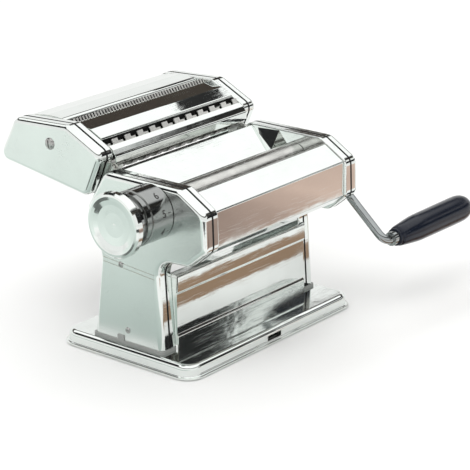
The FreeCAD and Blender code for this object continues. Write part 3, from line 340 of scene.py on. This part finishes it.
# %% Mouldings and rubber
def moulding(name, tint, pale_tint, rough, coat, grain_scale, grain_depth, parting=None):
    """A moulded plastic or rubber; parting is (y, z) of the axis that the mould's seam runs beside."""
    material, tree, shader = open_material(name)
    cloudy = use_group(tree, films, Scale=36.0)["Mask"]
    wear = use_group(tree, worn_edges, Radius=0.0007)["Mask"]
    hair = use_group(tree, hairlines, Least=0.70)["Mask"]
    marks = calc(tree, "MAXIMUM", calc(tree, "MULTIPLY", wear, 0.6), calc(tree, "MULTIPLY", hair, 0.5))
    tree.links.new(blend_tint(tree, marks, tint, pale_tint), shader.inputs["Base Color"])
    low, high = rough
    tree.links.new(remap(tree, cloudy, 0.0, 1.0, low, high), shader.inputs["Roughness"])
    shader.inputs["Coat Weight"].default_value = coat
    shader.inputs["Coat Roughness"].default_value = 0.12
    shader.inputs["Specular IOR Level"].default_value = 0.28
    normal = dent(tree, noise(tree, object_place(tree), grain_scale, 2.0), 0.00005, grain_depth)
    if parting is not None:
        parts_xyz = add_node(tree, "ShaderNodeSeparateXYZ", {0: object_place(tree)}).outputs
        beside = calc(tree, "ABSOLUTE", calc(tree, "SUBTRACT", parts_xyz["Z"], parting[1]))
        normal = dent(tree, remap(tree, beside, 0.0, 0.00035, 1.0, 0.0), 0.00012, 0.6, normal)
    tree.links.new(normal, shader.inputs["Normal"])
    return material


grip_low, grip_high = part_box("crank_grip")
grip_axis = ((grip_low.y + grip_high.y) / 2, (grip_low.z + grip_high.z) / 2)
black_moulding = moulding("black_grip_moulding", (0.006, 0.009, 0.018), (0.05, 0.06, 0.08), (0.17, 0.32),
                          0.10, 1500.0, 0.25, parting=grip_axis)
foot_rubber = moulding("foot_rubber", (0.022, 0.022, 0.023), (0.10, 0.10, 0.10), (0.62, 0.85), 0.0,
                       900.0, 0.6)
grey_strip = moulding("grey_leg_strip", (0.30, 0.31, 0.30), (0.55, 0.55, 0.53), (0.40, 0.60), 0.05,
                      1100.0, 0.4)


def dial_paint():
    """Black filling paint of the dial numbers, a little thin and uneven."""
    material, tree, shader = open_material("dial_paint")
    thin = noise(tree, object_place(tree), 2600.0, 3.0)
    worn_through = remap(tree, thin, 0.45, 0.75)
    colour = blend_tint(tree, worn_through, (0.012, 0.012, 0.012), (0.09, 0.085, 0.08))
    tree.links.new(colour, shader.inputs["Base Color"])
    tree.links.new(remap(tree, thin, 0.3, 0.7, 0.32, 0.55), shader.inputs["Roughness"])
    return material


dial_black = dial_paint()
# Near-black for the strips in the cover joints and behind the comb teeth: painted shade, standing for the
# dark of those gaps and of the head's inside.
painted_shade_black = moulding("seam_lining", (0.006, 0.006, 0.006), (0.03, 0.03, 0.03), (0.75, 0.9), 0.0, 900.0, 0.3)
print("mouldings ready:", black_moulding.name, foot_rubber.name, grey_strip.name, dial_black.name)

# %% [markdown]
# ## Giving each part its finish
# The frame's parts already carry a plain material in their first slot. Assigning to the slot changes
# the finish and leaves the mesh alone, which is all that a part of the right shape needs.

# %% Finishes for the frame's parts
finish_of = {
    chrome_plate: ["base_plate", "left_side_plate", "right_side_plate", "front_apron", "front_hood",
                   "feed_plate", "feed_guides", "left_head_plate", "right_head_plate", "head_rear_plate",
                   "head_ridge_cover", "head_front_plate"],
    satin_chrome: ["left_side_cover", "right_side_cover", "left_head_cover", "right_head_cover"],
    chrome_turned: ["knob_cap", "cover_screws", "head_cover_screws"],
    knob_chrome: ["knob_body"],
    crank_chrome: ["crank_rod"],
    roller_steel: ["drive_roller", "front_roller"],
    cutter_steel: ["wide_cutter_front", "wide_cutter_rear", "fine_cutter_front", "fine_cutter_rear"],
    comb_steel: ["wide_comb", "fine_comb", "rear_scraper", "front_scraper", "head_hooks", "head_rails"],
    zinc_plate: ["clamp_socket", "cover_posts", "tie_rods", "tie_rod_nuts", "leg_brackets", "base_screws",
                 "carriage_guides", "index_plate", "left_carriage_arm", "right_carriage_arm",
                 "regulator_sleeve", "regulator_cam", "knob_retainer", "knob_spring", "head_tie_rods",
                 "head_rod_nuts"],
    gear_steel: ["drive_gear", "front_gear", "wide_gear_front", "wide_gear_rear", "fine_gear_front",
                 "fine_gear_rear"],
    bush_brass: ["frame_bushes"],
    foot_rubber: ["rubber_feet"],
    grey_strip: ["leg_seats"],
    black_moulding: ["crank_grip", "grip_end_ring"],
}
for finish, names in finish_of.items():
    for name in names:
        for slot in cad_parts[name].material_slots:
            slot.material = finish
bare = set(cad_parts) - {n for names in finish_of.values() for n in names}
print("parts without a finish:", sorted(bare))

# %% [markdown]
# ## Turning node trees into plain meshes
# Screws, marks and the black strips of painted shade in the cover joints repeat or follow a line, which is
# what Geometry Nodes do best: a small tree with named sizes places every copy by a rule. The tree ends by
# making the copies real and giving them their finish. Its result is then copied out as an ordinary mesh, so
# the finished piece keeps no modifier.


# %% Geometry Nodes helpers
def open_geometry(name, sizes):
    """A geometry tree that takes a mesh and named sizes; returns the tree, its inputs and its output."""
    kinds = {float: "NodeSocketFloat", int: "NodeSocketInt", tuple: "NodeSocketVector"}
    tree = bpy.data.node_groups.new(name, "GeometryNodeTree")
    tree.interface.new_socket("Geometry", in_out="INPUT", socket_type="NodeSocketGeometry")
    tree.interface.new_socket("Geometry", in_out="OUTPUT", socket_type="NodeSocketGeometry")
    for label, value in sizes.items():
        socket = tree.interface.new_socket(label, in_out="INPUT", socket_type=kinds[type(value)])
        socket.default_value = value
    given = tree.nodes.new("NodeGroupInput").outputs
    return tree, given, tree.nodes.new("NodeGroupOutput").inputs["Geometry"]


def close_geometry(tree, geometry, material, out):
    real = add_node(tree, "GeometryNodeRealizeInstances", {"Geometry": geometry})
    done = add_node(tree, "GeometryNodeSetMaterial", {"Geometry": real.outputs[0]})
    done.inputs["Material"].default_value = material
    tree.links.new(done.outputs[0], out)


def grow(name, seed_mesh, tree, material, **sizes):
    """Runs a geometry tree on a seed mesh and returns the result as a plain mesh object."""
    maker = bpy.data.objects.new(name + "_maker", seed_mesh)
    bpy.context.scene.collection.objects.link(maker)
    modifier = maker.modifiers.new("maker", "NODES")
    modifier.node_group = tree
    for item in tree.interface.items_tree:
        if item.in_out == "INPUT" and item.name.replace(" ", "_") in sizes:
            modifier[item.identifier] = sizes[item.name.replace(" ", "_")]
    ready = maker.evaluated_get(bpy.context.evaluated_depsgraph_get())
    mesh = bpy.data.meshes.new_from_object(ready)
    bpy.data.objects.remove(maker)
    return finish_piece(name, mesh, material)


def finish_piece(name, mesh, material):
    mesh.name = name
    mesh.materials.clear()
    mesh.materials.append(material)
    piece = bpy.data.objects.new(name, mesh)
    bpy.context.scene.collection.objects.link(piece)
    print(name, "has", sum(len(p.vertices) - 2 for p in mesh.polygons), "triangles")
    return piece


def mesh_from(points, edges=(), faces=()):
    mesh = bpy.data.meshes.new("seed")
    mesh.from_pydata([tuple(p) for p in points], list(edges), list(faces))
    return mesh


def face_outwards(mesh):
    work = bmesh.new()
    work.from_mesh(mesh)
    bmesh.ops.recalc_face_normals(work, faces=work.faces)
    work.to_mesh(mesh)
    work.free()


# %% [markdown]
# ## The dark line round every end cover
# Each end of the machine, and of the cutter head, is a pressed plate with a pressed cover set on it rim
# to rim. The joint between the rims stays slightly open, and it lies in shade and looks black all the way
# round. The frame has the open joint; a thin black band of painted shade fills the joint and overlaps both
# rims. Its path is read from the plate itself, as the border of the flat rim that faces the cover.


# %% Reading a rim and laying a strip of painted shade along it
def rim_loop(node, side):
    """The outer border of a plate's flat rim, as ordered (x, y, z) points."""
    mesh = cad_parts[node].data
    edge_x = max(side * v.co.x for v in mesh.vertices)
    key = {}
    counts = {}
    for face in mesh.polygons:
        corners = [mesh.vertices[i].co for i in face.vertices]
        if all(abs(side * c.x - edge_x) < 2e-5 for c in corners):
            marks = [key.setdefault((round(c.y, 6), round(c.z, 6)), len(key)) for c in corners]
            for a, b in zip(marks, marks[1:] + marks[:1]):
                pair = (min(a, b), max(a, b))
                counts[pair] = counts.get(pair, 0) + 1
    links = {}
    for (a, b), count in counts.items():
        if count == 1:
            links.setdefault(a, []).append(b)
            links.setdefault(b, []).append(a)
    places = {mark: place for place, mark in key.items()}
    loops = []
    unused = set(links)
    while unused:
        loop = [unused.pop()]
        while True:
            ahead = [m for m in links[loop[-1]] if m in unused]
            if not ahead:
                break
            loop.append(ahead[0])
            unused.discard(ahead[0])
        loops.append([Vector((side * edge_x, *places[m])) for m in loop])

    def length(loop):
        return sum((a - b).length for a, b in zip(loop, loop[1:]))
    return max(loops, key=length)


shade_strip_tree, given, out = open_geometry("rim_lining", {"Depth": 0.0005, "Half width": 0.0008})
as_curve = add_node(shade_strip_tree, "GeometryNodeMeshToCurve", {"Mesh": given["Geometry"]}).outputs[0]
even = add_node(shade_strip_tree, "GeometryNodeResampleCurve", {"Curve": as_curve, "Length": 0.0012},
                mode="LENGTH")
full_width = calc(shade_strip_tree, "MULTIPLY", given["Half width"], 2.0)
bar = add_node(shade_strip_tree, "GeometryNodeCurvePrimitiveQuadrilateral",
               {"Height": given["Depth"], "Width": full_width})
swept = add_node(shade_strip_tree, "GeometryNodeCurveToMesh",
                 {"Curve": even.outputs[0], "Profile Curve": bar.outputs[0], "Fill Caps": True})
close_geometry(shade_strip_tree, swept.outputs[0], painted_shade_black, out)


def line_rim(name, node, side, body):
    """A black strip of painted shade swept along a plate's rim, a hair proud but never beyond the frame's own
    limits.
    """
    loop = rim_loop(node, side)
    middle = sum(loop, Vector()) / len(loop)
    count = len(loop)
    turn_sum = sum(a.y * b.z - a.z * b.y for a, b in zip(loop, loop[1:] + loop[:1]))
    inward = 1.0 if turn_sum > 0 else -1.0
    drawn_in = []
    for i, here in enumerate(loop):
        ahead = (loop[(i + 1) % count] - loop[i - 1]).normalized()
        normal = Vector((0, -ahead.z, ahead.y)) * inward
        spot = here + normal * shade_strip_inset + Vector((side * shade_strip_middle, 0, 0))
        spot.y = min(spot.y, frame_size[1][1] - shade_strip_room)
        spot.z = min(spot.z, frame_size[1][2] - shade_strip_room)
        drawn_in.append(spot)
    edges = [(i, (i + 1) % count) for i in range(count)]
    piece = grow(name, mesh_from(drawn_in, edges), shade_strip_tree, painted_shade_black, Half_width=shade_strip_half_width)
    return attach(piece, body)


shade_strip_inset = 0.00015          # rim surface to the middle of the strip of painted shade
shade_strip_half_width = 0.00085
shade_strip_room = 0.00027           # kept between the lining's middle and the frame's limits
shade_strip_middle = 0.0004          # plate's rim to the middle of the open joint
for name, node, side, body in (("left_seam_lining", "left_side_plate", -1, "stand"),
                               ("right_seam_lining", "right_side_plate", 1, "stand"),
                               ("left_head_lining", "left_head_plate", -1, "cutter_head"),
                               ("right_head_lining", "right_head_plate", 1, "cutter_head")):
    line_rim(name, node, side, body)

# %% [markdown]
# ## Dark edges behind the comb teeth
# The sheets behind the two combs are turned down into the head, and there they lie in shade and look black.
# A narrow black strip of painted shade on each turned-down edge gives the pale teeth something to stand
# against. It is an outline of six points drawn along the machine, with its front corners taken off.


# %% Dark strips in the head
def edge_strip(name, top, bottom):
    """A thin strip of painted shade on a turned-down sheet edge; top and bottom are (y, z) from the roller's
    axis, in mm.
    """
    upper, lower = [Vector((0, dial_axis[0] + y / 1000, dial_axis[1] + z / 1000)) for y, z in (top, bottom)]
    down = (lower - upper).normalized()
    out_of = Vector((0, down.z, -down.y))
    corner = strip_thickness * 0.6
    shoulder = out_of * (strip_thickness - corner)
    front = out_of * strip_thickness
    ring = [upper + out_of * strip_gap, upper + shoulder, upper + front + down * corner,
            lower + front - down * corner, lower + shoulder, lower + out_of * strip_gap]
    points = [p + Vector((x, 0, 0)) for x in (-strip_half_length, strip_half_length) for p in ring]
    count = len(ring)
    faces = [(i, (i + 1) % count, count + (i + 1) % count, count + i) for i in range(count)]
    faces += [tuple(range(count)), tuple(range(count, 2 * count))]
    mesh = mesh_from(points, (), faces)
    face_outwards(mesh)
    piece = finish_piece(name, mesh, painted_shade_black)
    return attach(piece, "cutter_head")


knob_low, knob_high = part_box("knob_body")
dial_axis = ((knob_low.y + knob_high.y) / 2, (knob_low.z + knob_high.z) / 2)
strip_half_length = 0.0750
strip_thickness = 0.00015
strip_gap = 0.00002             # kept between the strip and the sheet
edge_strip("fine_edge_strip", (97.55, 45.2), (98.32, 41.4))
edge_strip("wide_edge_strip", (61.44, 37.5), (61.58, 33.6))

# %% [markdown]
# ## Numbers on the thickness dial
# The dial ring beside the cover carries the numbers of the seven settings, read along the machine as the
# ring turns. Each number is drawn as text, made a mesh, cut fine enough to bend, and wrapped round the
# ring by turning its height into an angle. A painted number stands proud by only a few hundredths.

# %% Dial numbers and marks
dial_reach = 0.0206
cover_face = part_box("left_side_cover")[0].x
number_middle = cover_face - 0.0095
number_height = 0.0056
size_for_height = 1.4           # text size that gives digits one unit high
stroke_gain = 0.00012           # how much the strokes are thickened
paint_half = 0.00004            # half the thickness of the paint
paint_lift = 0.00003            # ring surface to the middle of the paint
bending_length = 0.0008         # longer edges are cut before a digit is bent
mark_middle = cover_face - 0.0042
step_angle = math.radians(40.0)
shown_angle = math.radians(168.0)
shown_number = 5


def wrapped(place_along, place_round, lift_out):
    """A point on the dial ring from its place along the axis, round it and out from it."""
    reach_out = dial_reach + lift_out
    return Vector((place_along, dial_axis[0] + reach_out * math.cos(place_round),
                   dial_axis[1] + reach_out * math.sin(place_round)))


def dial_number(digit):
    text = bpy.data.objects.new("number", bpy.data.curves.new("number", "FONT"))
    bpy.context.scene.collection.objects.link(text)
    text.data.body = str(digit)
    text.data.size = number_height * size_for_height
    text.data.align_x = "CENTER"
    text.data.align_y = "CENTER"
    text.data.extrude = paint_half
    text.data.offset = stroke_gain
    ready = text.evaluated_get(bpy.context.evaluated_depsgraph_get())
    flat = bpy.data.meshes.new_from_object(ready)
    bpy.data.objects.remove(text)
    shape = bmesh.new()
    shape.from_mesh(flat)
    bmesh.ops.remove_doubles(shape, verts=shape.verts, dist=1e-6)
    bmesh.ops.triangulate(shape, faces=shape.faces)
    long_edges = [e for e in shape.edges if e.calc_length() > bending_length]
    bmesh.ops.subdivide_edges(shape, edges=long_edges, cuts=2)
    middle = shown_angle + (shown_number - digit) * step_angle
    for v in shape.verts:
        v.co = wrapped(number_middle + v.co.x, middle - v.co.y / dial_reach, v.co.z + paint_lift)
    bmesh.ops.recalc_face_normals(shape, faces=shape.faces)
    if shape.calc_volume(signed=True) < 0:
        bmesh.ops.reverse_faces(shape, faces=shape.faces)
    mesh = bpy.data.meshes.new("dial_number")
    shape.to_mesh(mesh)
    shape.free()
    return mesh


for digit in range(1, 8):
    piece = finish_piece("dial_number_" + str(digit), dial_number(digit), dial_black)
    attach(piece, "knob")

mark_sizes = {"Count": 7, "First": 0.0, "Step": 0.7, "Reach": 0.02, "Bar": (0.003, 0.0004, 0.0001),
              "Centre": (0.0, 0.0, 0.0)}
marks_tree, given, out = open_geometry("dial_marks", mark_sizes)
rows = add_node(marks_tree, "GeometryNodeMeshLine", {"Count": given["Count"]})
index = add_node(marks_tree, "GeometryNodeInputIndex").outputs[0]
angle = calc(marks_tree, "ADD", given["First"], calc(marks_tree, "MULTIPLY", index, given["Step"]))
ring = add_node(marks_tree, "ShaderNodeCombineXYZ",
                {"Y": calc(marks_tree, "MULTIPLY", given["Reach"], calc(marks_tree, "COSINE", angle)),
                 "Z": calc(marks_tree, "MULTIPLY", given["Reach"], calc(marks_tree, "SINE", angle))})
spot = vector_calc(marks_tree, "ADD", given["Centre"], ring.outputs[0]).outputs[0]
placed = add_node(marks_tree, "GeometryNodeSetPosition", {"Geometry": rows.outputs[0], "Position": spot})
bar = add_node(marks_tree, "GeometryNodeMeshCube", {"Size": given["Bar"]})
facing = add_node(marks_tree, "ShaderNodeCombineXYZ", {"X": calc(marks_tree, "SUBTRACT", angle, math.pi / 2)})
bars = add_node(marks_tree, "GeometryNodeInstanceOnPoints",
                {"Points": placed.outputs[0], "Instance": bar.outputs[0], "Rotation": facing.outputs[0]})
close_geometry(marks_tree, bars.outputs[0], dial_black, out)
marks = grow("dial_marks", mesh_from([(0, 0, 0)]), marks_tree, dial_black, First=shown_angle, Step=step_angle,
             Reach=dial_reach, Bar=(0.0026, 0.0005, 0.00008), Centre=(mark_middle, *dial_axis))
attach(marks, "knob")

# %% [markdown]
# ## Screws in the end covers
# A cover on the cutter head is held by one broad slotted screw, and each lower cover by two small ones.
# One screw head is modelled with its dome, its rim and its slot. A node tree then sets a copy at each
# place, turns it to its own side and leaves its slot at its own angle, as screws end up in real life.


# %% One slotted screw head
def slotted_head():
    """A domed head of radius 1 and height 0.42, looking along +X, with a slot across it."""
    outline = [(0.0, 0.42), (0.30, 0.41), (0.58, 0.36), (0.80, 0.26), (0.93, 0.14), (1.0, 0.05), (1.0, 0.0)]
    turns = 40
    points = [(0.42, 0.0, 0.0)]
    faces = []
    for radius, height in outline[1:]:
        points += [(height, radius * math.cos(math.tau * t / turns), radius * math.sin(math.tau * t / turns))
                   for t in range(turns)]
    faces += [(0, 1 + t, 1 + (t + 1) % turns) for t in range(turns)]
    for row in range(len(outline) - 2):
        first, second = 1 + row * turns, 1 + (row + 1) * turns
        faces += [(first + t, second + t, second + (t + 1) % turns, first + (t + 1) % turns)
                  for t in range(turns)]
    last = 1 + (len(outline) - 2) * turns
    faces.append(tuple(last + t for t in range(turns)))
    dome = bpy.data.objects.new("screw_head", mesh_from(points, (), faces))
    slot_floor, slot_top, slot_half_length, slot_half_width = 0.125, 0.80, 0.62, 0.10
    corners = [(a, slot_half_length * b, slot_half_width * c)
               for a in (slot_floor, slot_top) for b in (-1, 1) for c in (-1, 1)]
    cube_faces = [(0, 1, 3, 2), (4, 6, 7, 5), (0, 4, 5, 1), (2, 3, 7, 6), (0, 2, 6, 4), (1, 5, 7, 3)]
    slot = bpy.data.objects.new("screw_slot", mesh_from(corners, (), cube_faces))
    for made in (dome, slot):
        bpy.context.scene.collection.objects.link(made)
        face_outwards(made.data)
    cut = dome.modifiers.new("slot", "BOOLEAN")
    cut.operation = "DIFFERENCE"
    cut.object = slot
    mesh = bpy.data.meshes.new_from_object(dome.evaluated_get(bpy.context.evaluated_depsgraph_get()))
    bpy.data.objects.remove(slot)
    bpy.data.objects.remove(dome)
    return mesh


head_template = bpy.data.objects.new("screw_template", slotted_head())
bpy.context.scene.collection.objects.link(head_template)

screw_tree, given, out = open_geometry("screw_heads", {"Size": 0.002, "Slot spread": 2.4, "Seed": 4})
template = add_node(screw_tree, "GeometryNodeObjectInfo")
template.inputs["Object"].default_value = head_template
where = add_node(screw_tree, "GeometryNodeInputPosition").outputs[0]
side_x = add_node(screw_tree, "ShaderNodeSeparateXYZ", {0: where}).outputs["X"]
flip = calc(screw_tree, "MULTIPLY", calc(screw_tree, "LESS_THAN", side_x, 0.0), math.pi)
spread = add_node(screw_tree, "FunctionNodeRandomValue", {"Seed": given["Seed"]}, data_type="FLOAT")
slot_turn = calc(screw_tree, "MULTIPLY", spread.outputs[1], given["Slot spread"])
attitude = add_node(screw_tree, "ShaderNodeCombineXYZ", {"X": slot_turn, "Z": flip})
heads = add_node(screw_tree, "GeometryNodeInstanceOnPoints",
                 {"Points": given["Geometry"], "Instance": template.outputs["Geometry"],
                  "Rotation": attitude.outputs[0], "Scale": given["Size"]})
close_geometry(screw_tree, heads.outputs[0], screw_nickel, out)


def screw_places(node, face_of):
    """The middle of each screw of a node, on the face of the cover that it holds."""
    groups = {}
    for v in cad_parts[node].data.vertices:
        groups.setdefault((v.co.x > 0, v.co.z > 0.05), []).append(v.co)
    places = []
    for (right_side, _), corners in groups.items():
        y = (min(c.y for c in corners) + max(c.y for c in corners)) / 2
        z = (min(c.z for c in corners) + max(c.z for c in corners)) / 2
        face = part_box(("right_" if right_side else "left_") + face_of)
        places.append((face[1].x if right_side else face[0].x, y, z))
    return places


screw_sets = (("cover_screw_heads", "cover_screws", "side_cover", 0.0024, "stand"),
              ("head_screw_heads", "head_cover_screws", "head_cover", 0.0046, "cutter_head"))
for name, node, face_of, size, body in screw_sets:
    screws = grow(name, mesh_from(screw_places(node, face_of)), screw_tree, screw_nickel, Size=size)
    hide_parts(node)
    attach(screws, body)
bpy.data.objects.remove(head_template)

# %% [markdown]
# ## The crank's grip
# The grip is turned by the palm, so it swells from a narrow throat by the crank to a full barrel, with a
# soft break a quarter of the way along, and ends in a rounded nose. The frame's grip has the right size;
# this one has the break, the groove behind its end ring and a finer surface. It is a profile spun about
# the crank pin's axis, because a lathe-like shape is exactly that.

# %% Grip
grip_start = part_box("grip_end_ring")[0].x
bore = 0.00366
grip_outline = [(0.0935, bore), (0.0004, bore), (0.0, 0.0042), (0.0, 0.0064), (0.0006, 0.0070),
                (0.0024, 0.0070), (0.0027, 0.0066), (0.0032, 0.0066), (0.0036, 0.0076), (0.0046, 0.0080),
                (0.0120, 0.0089), (0.0200, 0.0098), (0.0262, 0.01035), (0.0300, 0.01052),
                (0.0420, 0.01064), (0.0580, 0.01074), (0.0720, 0.01082), (0.0840, 0.01084),
                (0.0890, 0.0107), (0.0930, 0.0101), (0.0962, 0.0089), (0.0982, 0.0070),
                (0.0988, 0.0050), (0.09895, 0.0)]
spokes = 96
grip_points = []
for along_grip, radius in grip_outline[:-1]:
    for t in range(spokes):
        round_grip = math.tau * t / spokes
        grip_points.append((grip_start + along_grip, grip_axis[0] + radius * math.cos(round_grip),
                            grip_axis[1] + radius * math.sin(round_grip)))
last_row = (len(grip_outline) - 2) * spokes
beside = [(t + 1) % spokes for t in range(spokes)]
grip_faces = [(row + t, row + spokes + t, row + spokes + beside[t], row + beside[t])
              for row in range(0, last_row, spokes) for t in range(spokes)]
nose = len(grip_points)
grip_points += [(grip_start + grip_outline[-1][0], *grip_axis), (grip_start + grip_outline[0][0], *grip_axis)]
grip_faces += [(last_row + t, nose, last_row + beside[t]) for t in range(spokes)]
grip_faces += [(t, beside[t], nose + 1) for t in range(spokes)]
grip_mesh = mesh_from(grip_points, (), grip_faces)
face_outwards(grip_mesh)
grip_mesh.polygons.foreach_set("use_smooth", [True] * len(grip_mesh.polygons))
grip = finish_piece("moulded_grip", grip_mesh, black_moulding)
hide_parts("crank_grip", "grip_end_ring")
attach(grip, "grip")
print("grip is", round((grip_high.x - grip_start) * 1000, 1), "mm long")

# %% [markdown]
# ## The studio
# Chrome shows the room, so the room is designed: a pale floor and a bright horizon for the broad faces,
# a dark band higher up and a few dark cards for the thin black lines along the rounded edges. The cards
# are seen only in reflections. A warm card lies in front, because the front of such a machine mostly
# mirrors the board and the dough that it works on.


# %% Floor, sky and cards
def flat_card(name, centre, across, along_edge, colour, glow=0.0):
    """A flat rectangle from a centre and two half-edges."""
    centre, across, along_edge = Vector(centre), Vector(across), Vector(along_edge)
    corners = [centre + across * a + along_edge * b for a, b in ((-1, -1), (1, -1), (1, 1), (-1, 1))]
    mesh = bpy.data.meshes.new(name)
    mesh.from_pydata([tuple(c) for c in corners], [], [(0, 1, 2, 3)])
    made = bpy.data.objects.new(name, mesh)
    bpy.context.scene.collection.objects.link(made)
    material, tree, shader = open_material(name + "_surface")
    shader.inputs["Base Color"].default_value = (*colour, 1.0)
    shader.inputs["Roughness"].default_value = 0.9
    if glow:
        shader.inputs["Emission Color"].default_value = (*colour, 1.0)
        shader.inputs["Emission Strength"].default_value = glow
    mesh.materials.append(material)
    return made


def reflection_card(*args, **options):
    card = flat_card(*args, **options)
    card.visible_camera = False
    card.visible_diffuse = False
    card.visible_shadow = False
    return card


flat_card("floor", (0, 0, 0), (4, 0, 0), (0, 4, 0), (0.88, 0.88, 0.875))
dark = (0.006, 0.006, 0.007)
reflection_card("dark_card_right", (1.15, -0.95, 0.36), (0.45, 0.55, 0), (0, 0, 0.15), dark)
reflection_card("dark_card_near", (-0.44, -0.42, 0.003), (0.16, -0.18, 0), (0.10, 0.09, 0), dark)
reflection_card("dark_card_back_left", (-0.80, 0.93, 1.05), (0.45, 0.0, 0), (0, -0.15, 0.25), dark)
reflection_card("dark_card_over_right", (0.198, 0.112, 0.30), (0.030, 0, 0), (0, 0.048, 0), dark)
reflection_card("dark_card_far_right", (1.15, -1.22, 0.78), (0, 0.24, 0), (0, 0, 0.27), dark)
reflection_card("grey_card_by_knob", (-0.305, 0.085, 0.003), (0.040, 0, 0), (0, 0.045, 0),
                (0.10, 0.11, 0.105))
reflection_card("dark_card_back_right", (0.733, 0.54, 0.505), (0.273, 0, 0), (0, 0, 0.10),
                (0.040, 0.029, 0.021))
warm_card = reflection_card("warm_card", (0.22, -0.377, 0.002), (0.30, 0.0, 0), (0, 0.124, 0),
                            (0.20, 0.105, 0.05))
reflection_card("board_card", (0.22, -0.12, 0.002), (0.26, 0.0, 0), (0, 0.018, 0), (0.30, 0.19, 0.12))
grey_card = reflection_card("grey_card", (-0.42, 0.28, 0.002), (0.30, 0.0, 0), (0, 0.42, 0),
                            (0.62, 0.68, 0.66))


def shade_card(card, near, far, from_place, spread, streaks=0.0):
    """Grades a card's colour with distance from a place, with optional soft streaks."""
    tree = card.data.materials[0].node_tree
    away = vector_calc(tree, "DISTANCE", object_place(tree), from_place).outputs["Value"]
    grade = remap(tree, away, 0.0, spread)
    if streaks:
        bands = vector_calc(tree, "MULTIPLY", object_place(tree), (1.0, 0.35, 1.0)).outputs[0]
        band_mask = remap(tree, noise(tree, bands, 9.0), 0.35, 0.65, -1.0, 1.0)
        grade = calc(tree, "ADD", grade, calc(tree, "MULTIPLY", band_mask, streaks), clamp=True)
    tree.links.new(blend_tint(tree, grade, near, far), tree.nodes["Principled BSDF"].inputs["Base Color"])


# The grey card is darker near the machine and paler further out: painted shade on the floor that the lower
# covers mirror.
shade_card(grey_card, (0.42, 0.49, 0.465), (0.74, 0.80, 0.77), (-0.09, 0.0, 0.0), 0.55)
shade_card(warm_card, (0.085, 0.050, 0.038), (0.62, 0.45, 0.38), (0.12, -0.34, 0.0), 0.24, streaks=0.14)

sky = bpy.data.worlds.new("studio_sky")
bpy.context.scene.world = sky
sky.use_nodes = True
sky_tree = sky.node_tree
ray = add_node(sky_tree, "ShaderNodeTexCoord").outputs["Generated"]
height = add_node(sky_tree, "ShaderNodeSeparateXYZ", {0: ray}).outputs["Z"]
ramp = add_node(sky_tree, "ShaderNodeValToRGB", {0: height})
stops = [(0.0, (1.0, 1.0, 0.99)), (0.415, (1.0, 1.0, 0.99)), (0.43, (0.13, 0.115, 0.095)),
         (0.50, (0.06, 0.055, 0.05)), (0.57, (0.02, 0.02, 0.02)), (0.62, (1.25, 1.25, 1.24))]
while len(ramp.color_ramp.elements) < len(stops):
    ramp.color_ramp.elements.new(0.5)
for element, (position, light_colour) in zip(ramp.color_ramp.elements, stops):
    element.position = position
    element.color = (*light_colour, 1.0)
sky_tree.links.new(ramp.outputs[0], sky_tree.nodes["Background"].inputs["Color"])
sky_tree.nodes["Background"].inputs["Strength"].default_value = 1.0


def soft_box(name, place, size, power):
    light = bpy.data.objects.new(name, bpy.data.lights.new(name, "AREA"))
    bpy.context.scene.collection.objects.link(light)
    light.data.shape = "RECTANGLE"
    light.data.size, light.data.size_y = size
    light.data.energy = power
    light.location = place
    light.rotation_euler = (Vector((0, 0, 0.08)) - light.location).to_track_quat("-Z", "Y").to_euler()
    light.visible_glossy = False


soft_box("key_box", (-0.9, -0.2, 1.6), (1.0, 1.0), 9.0)
soft_box("fill_box", (0.8, 0.9, 1.3), (0.9, 0.6), 4.0)
bpy.context.scene.view_settings.view_transform = "Standard"
print("studio ready")
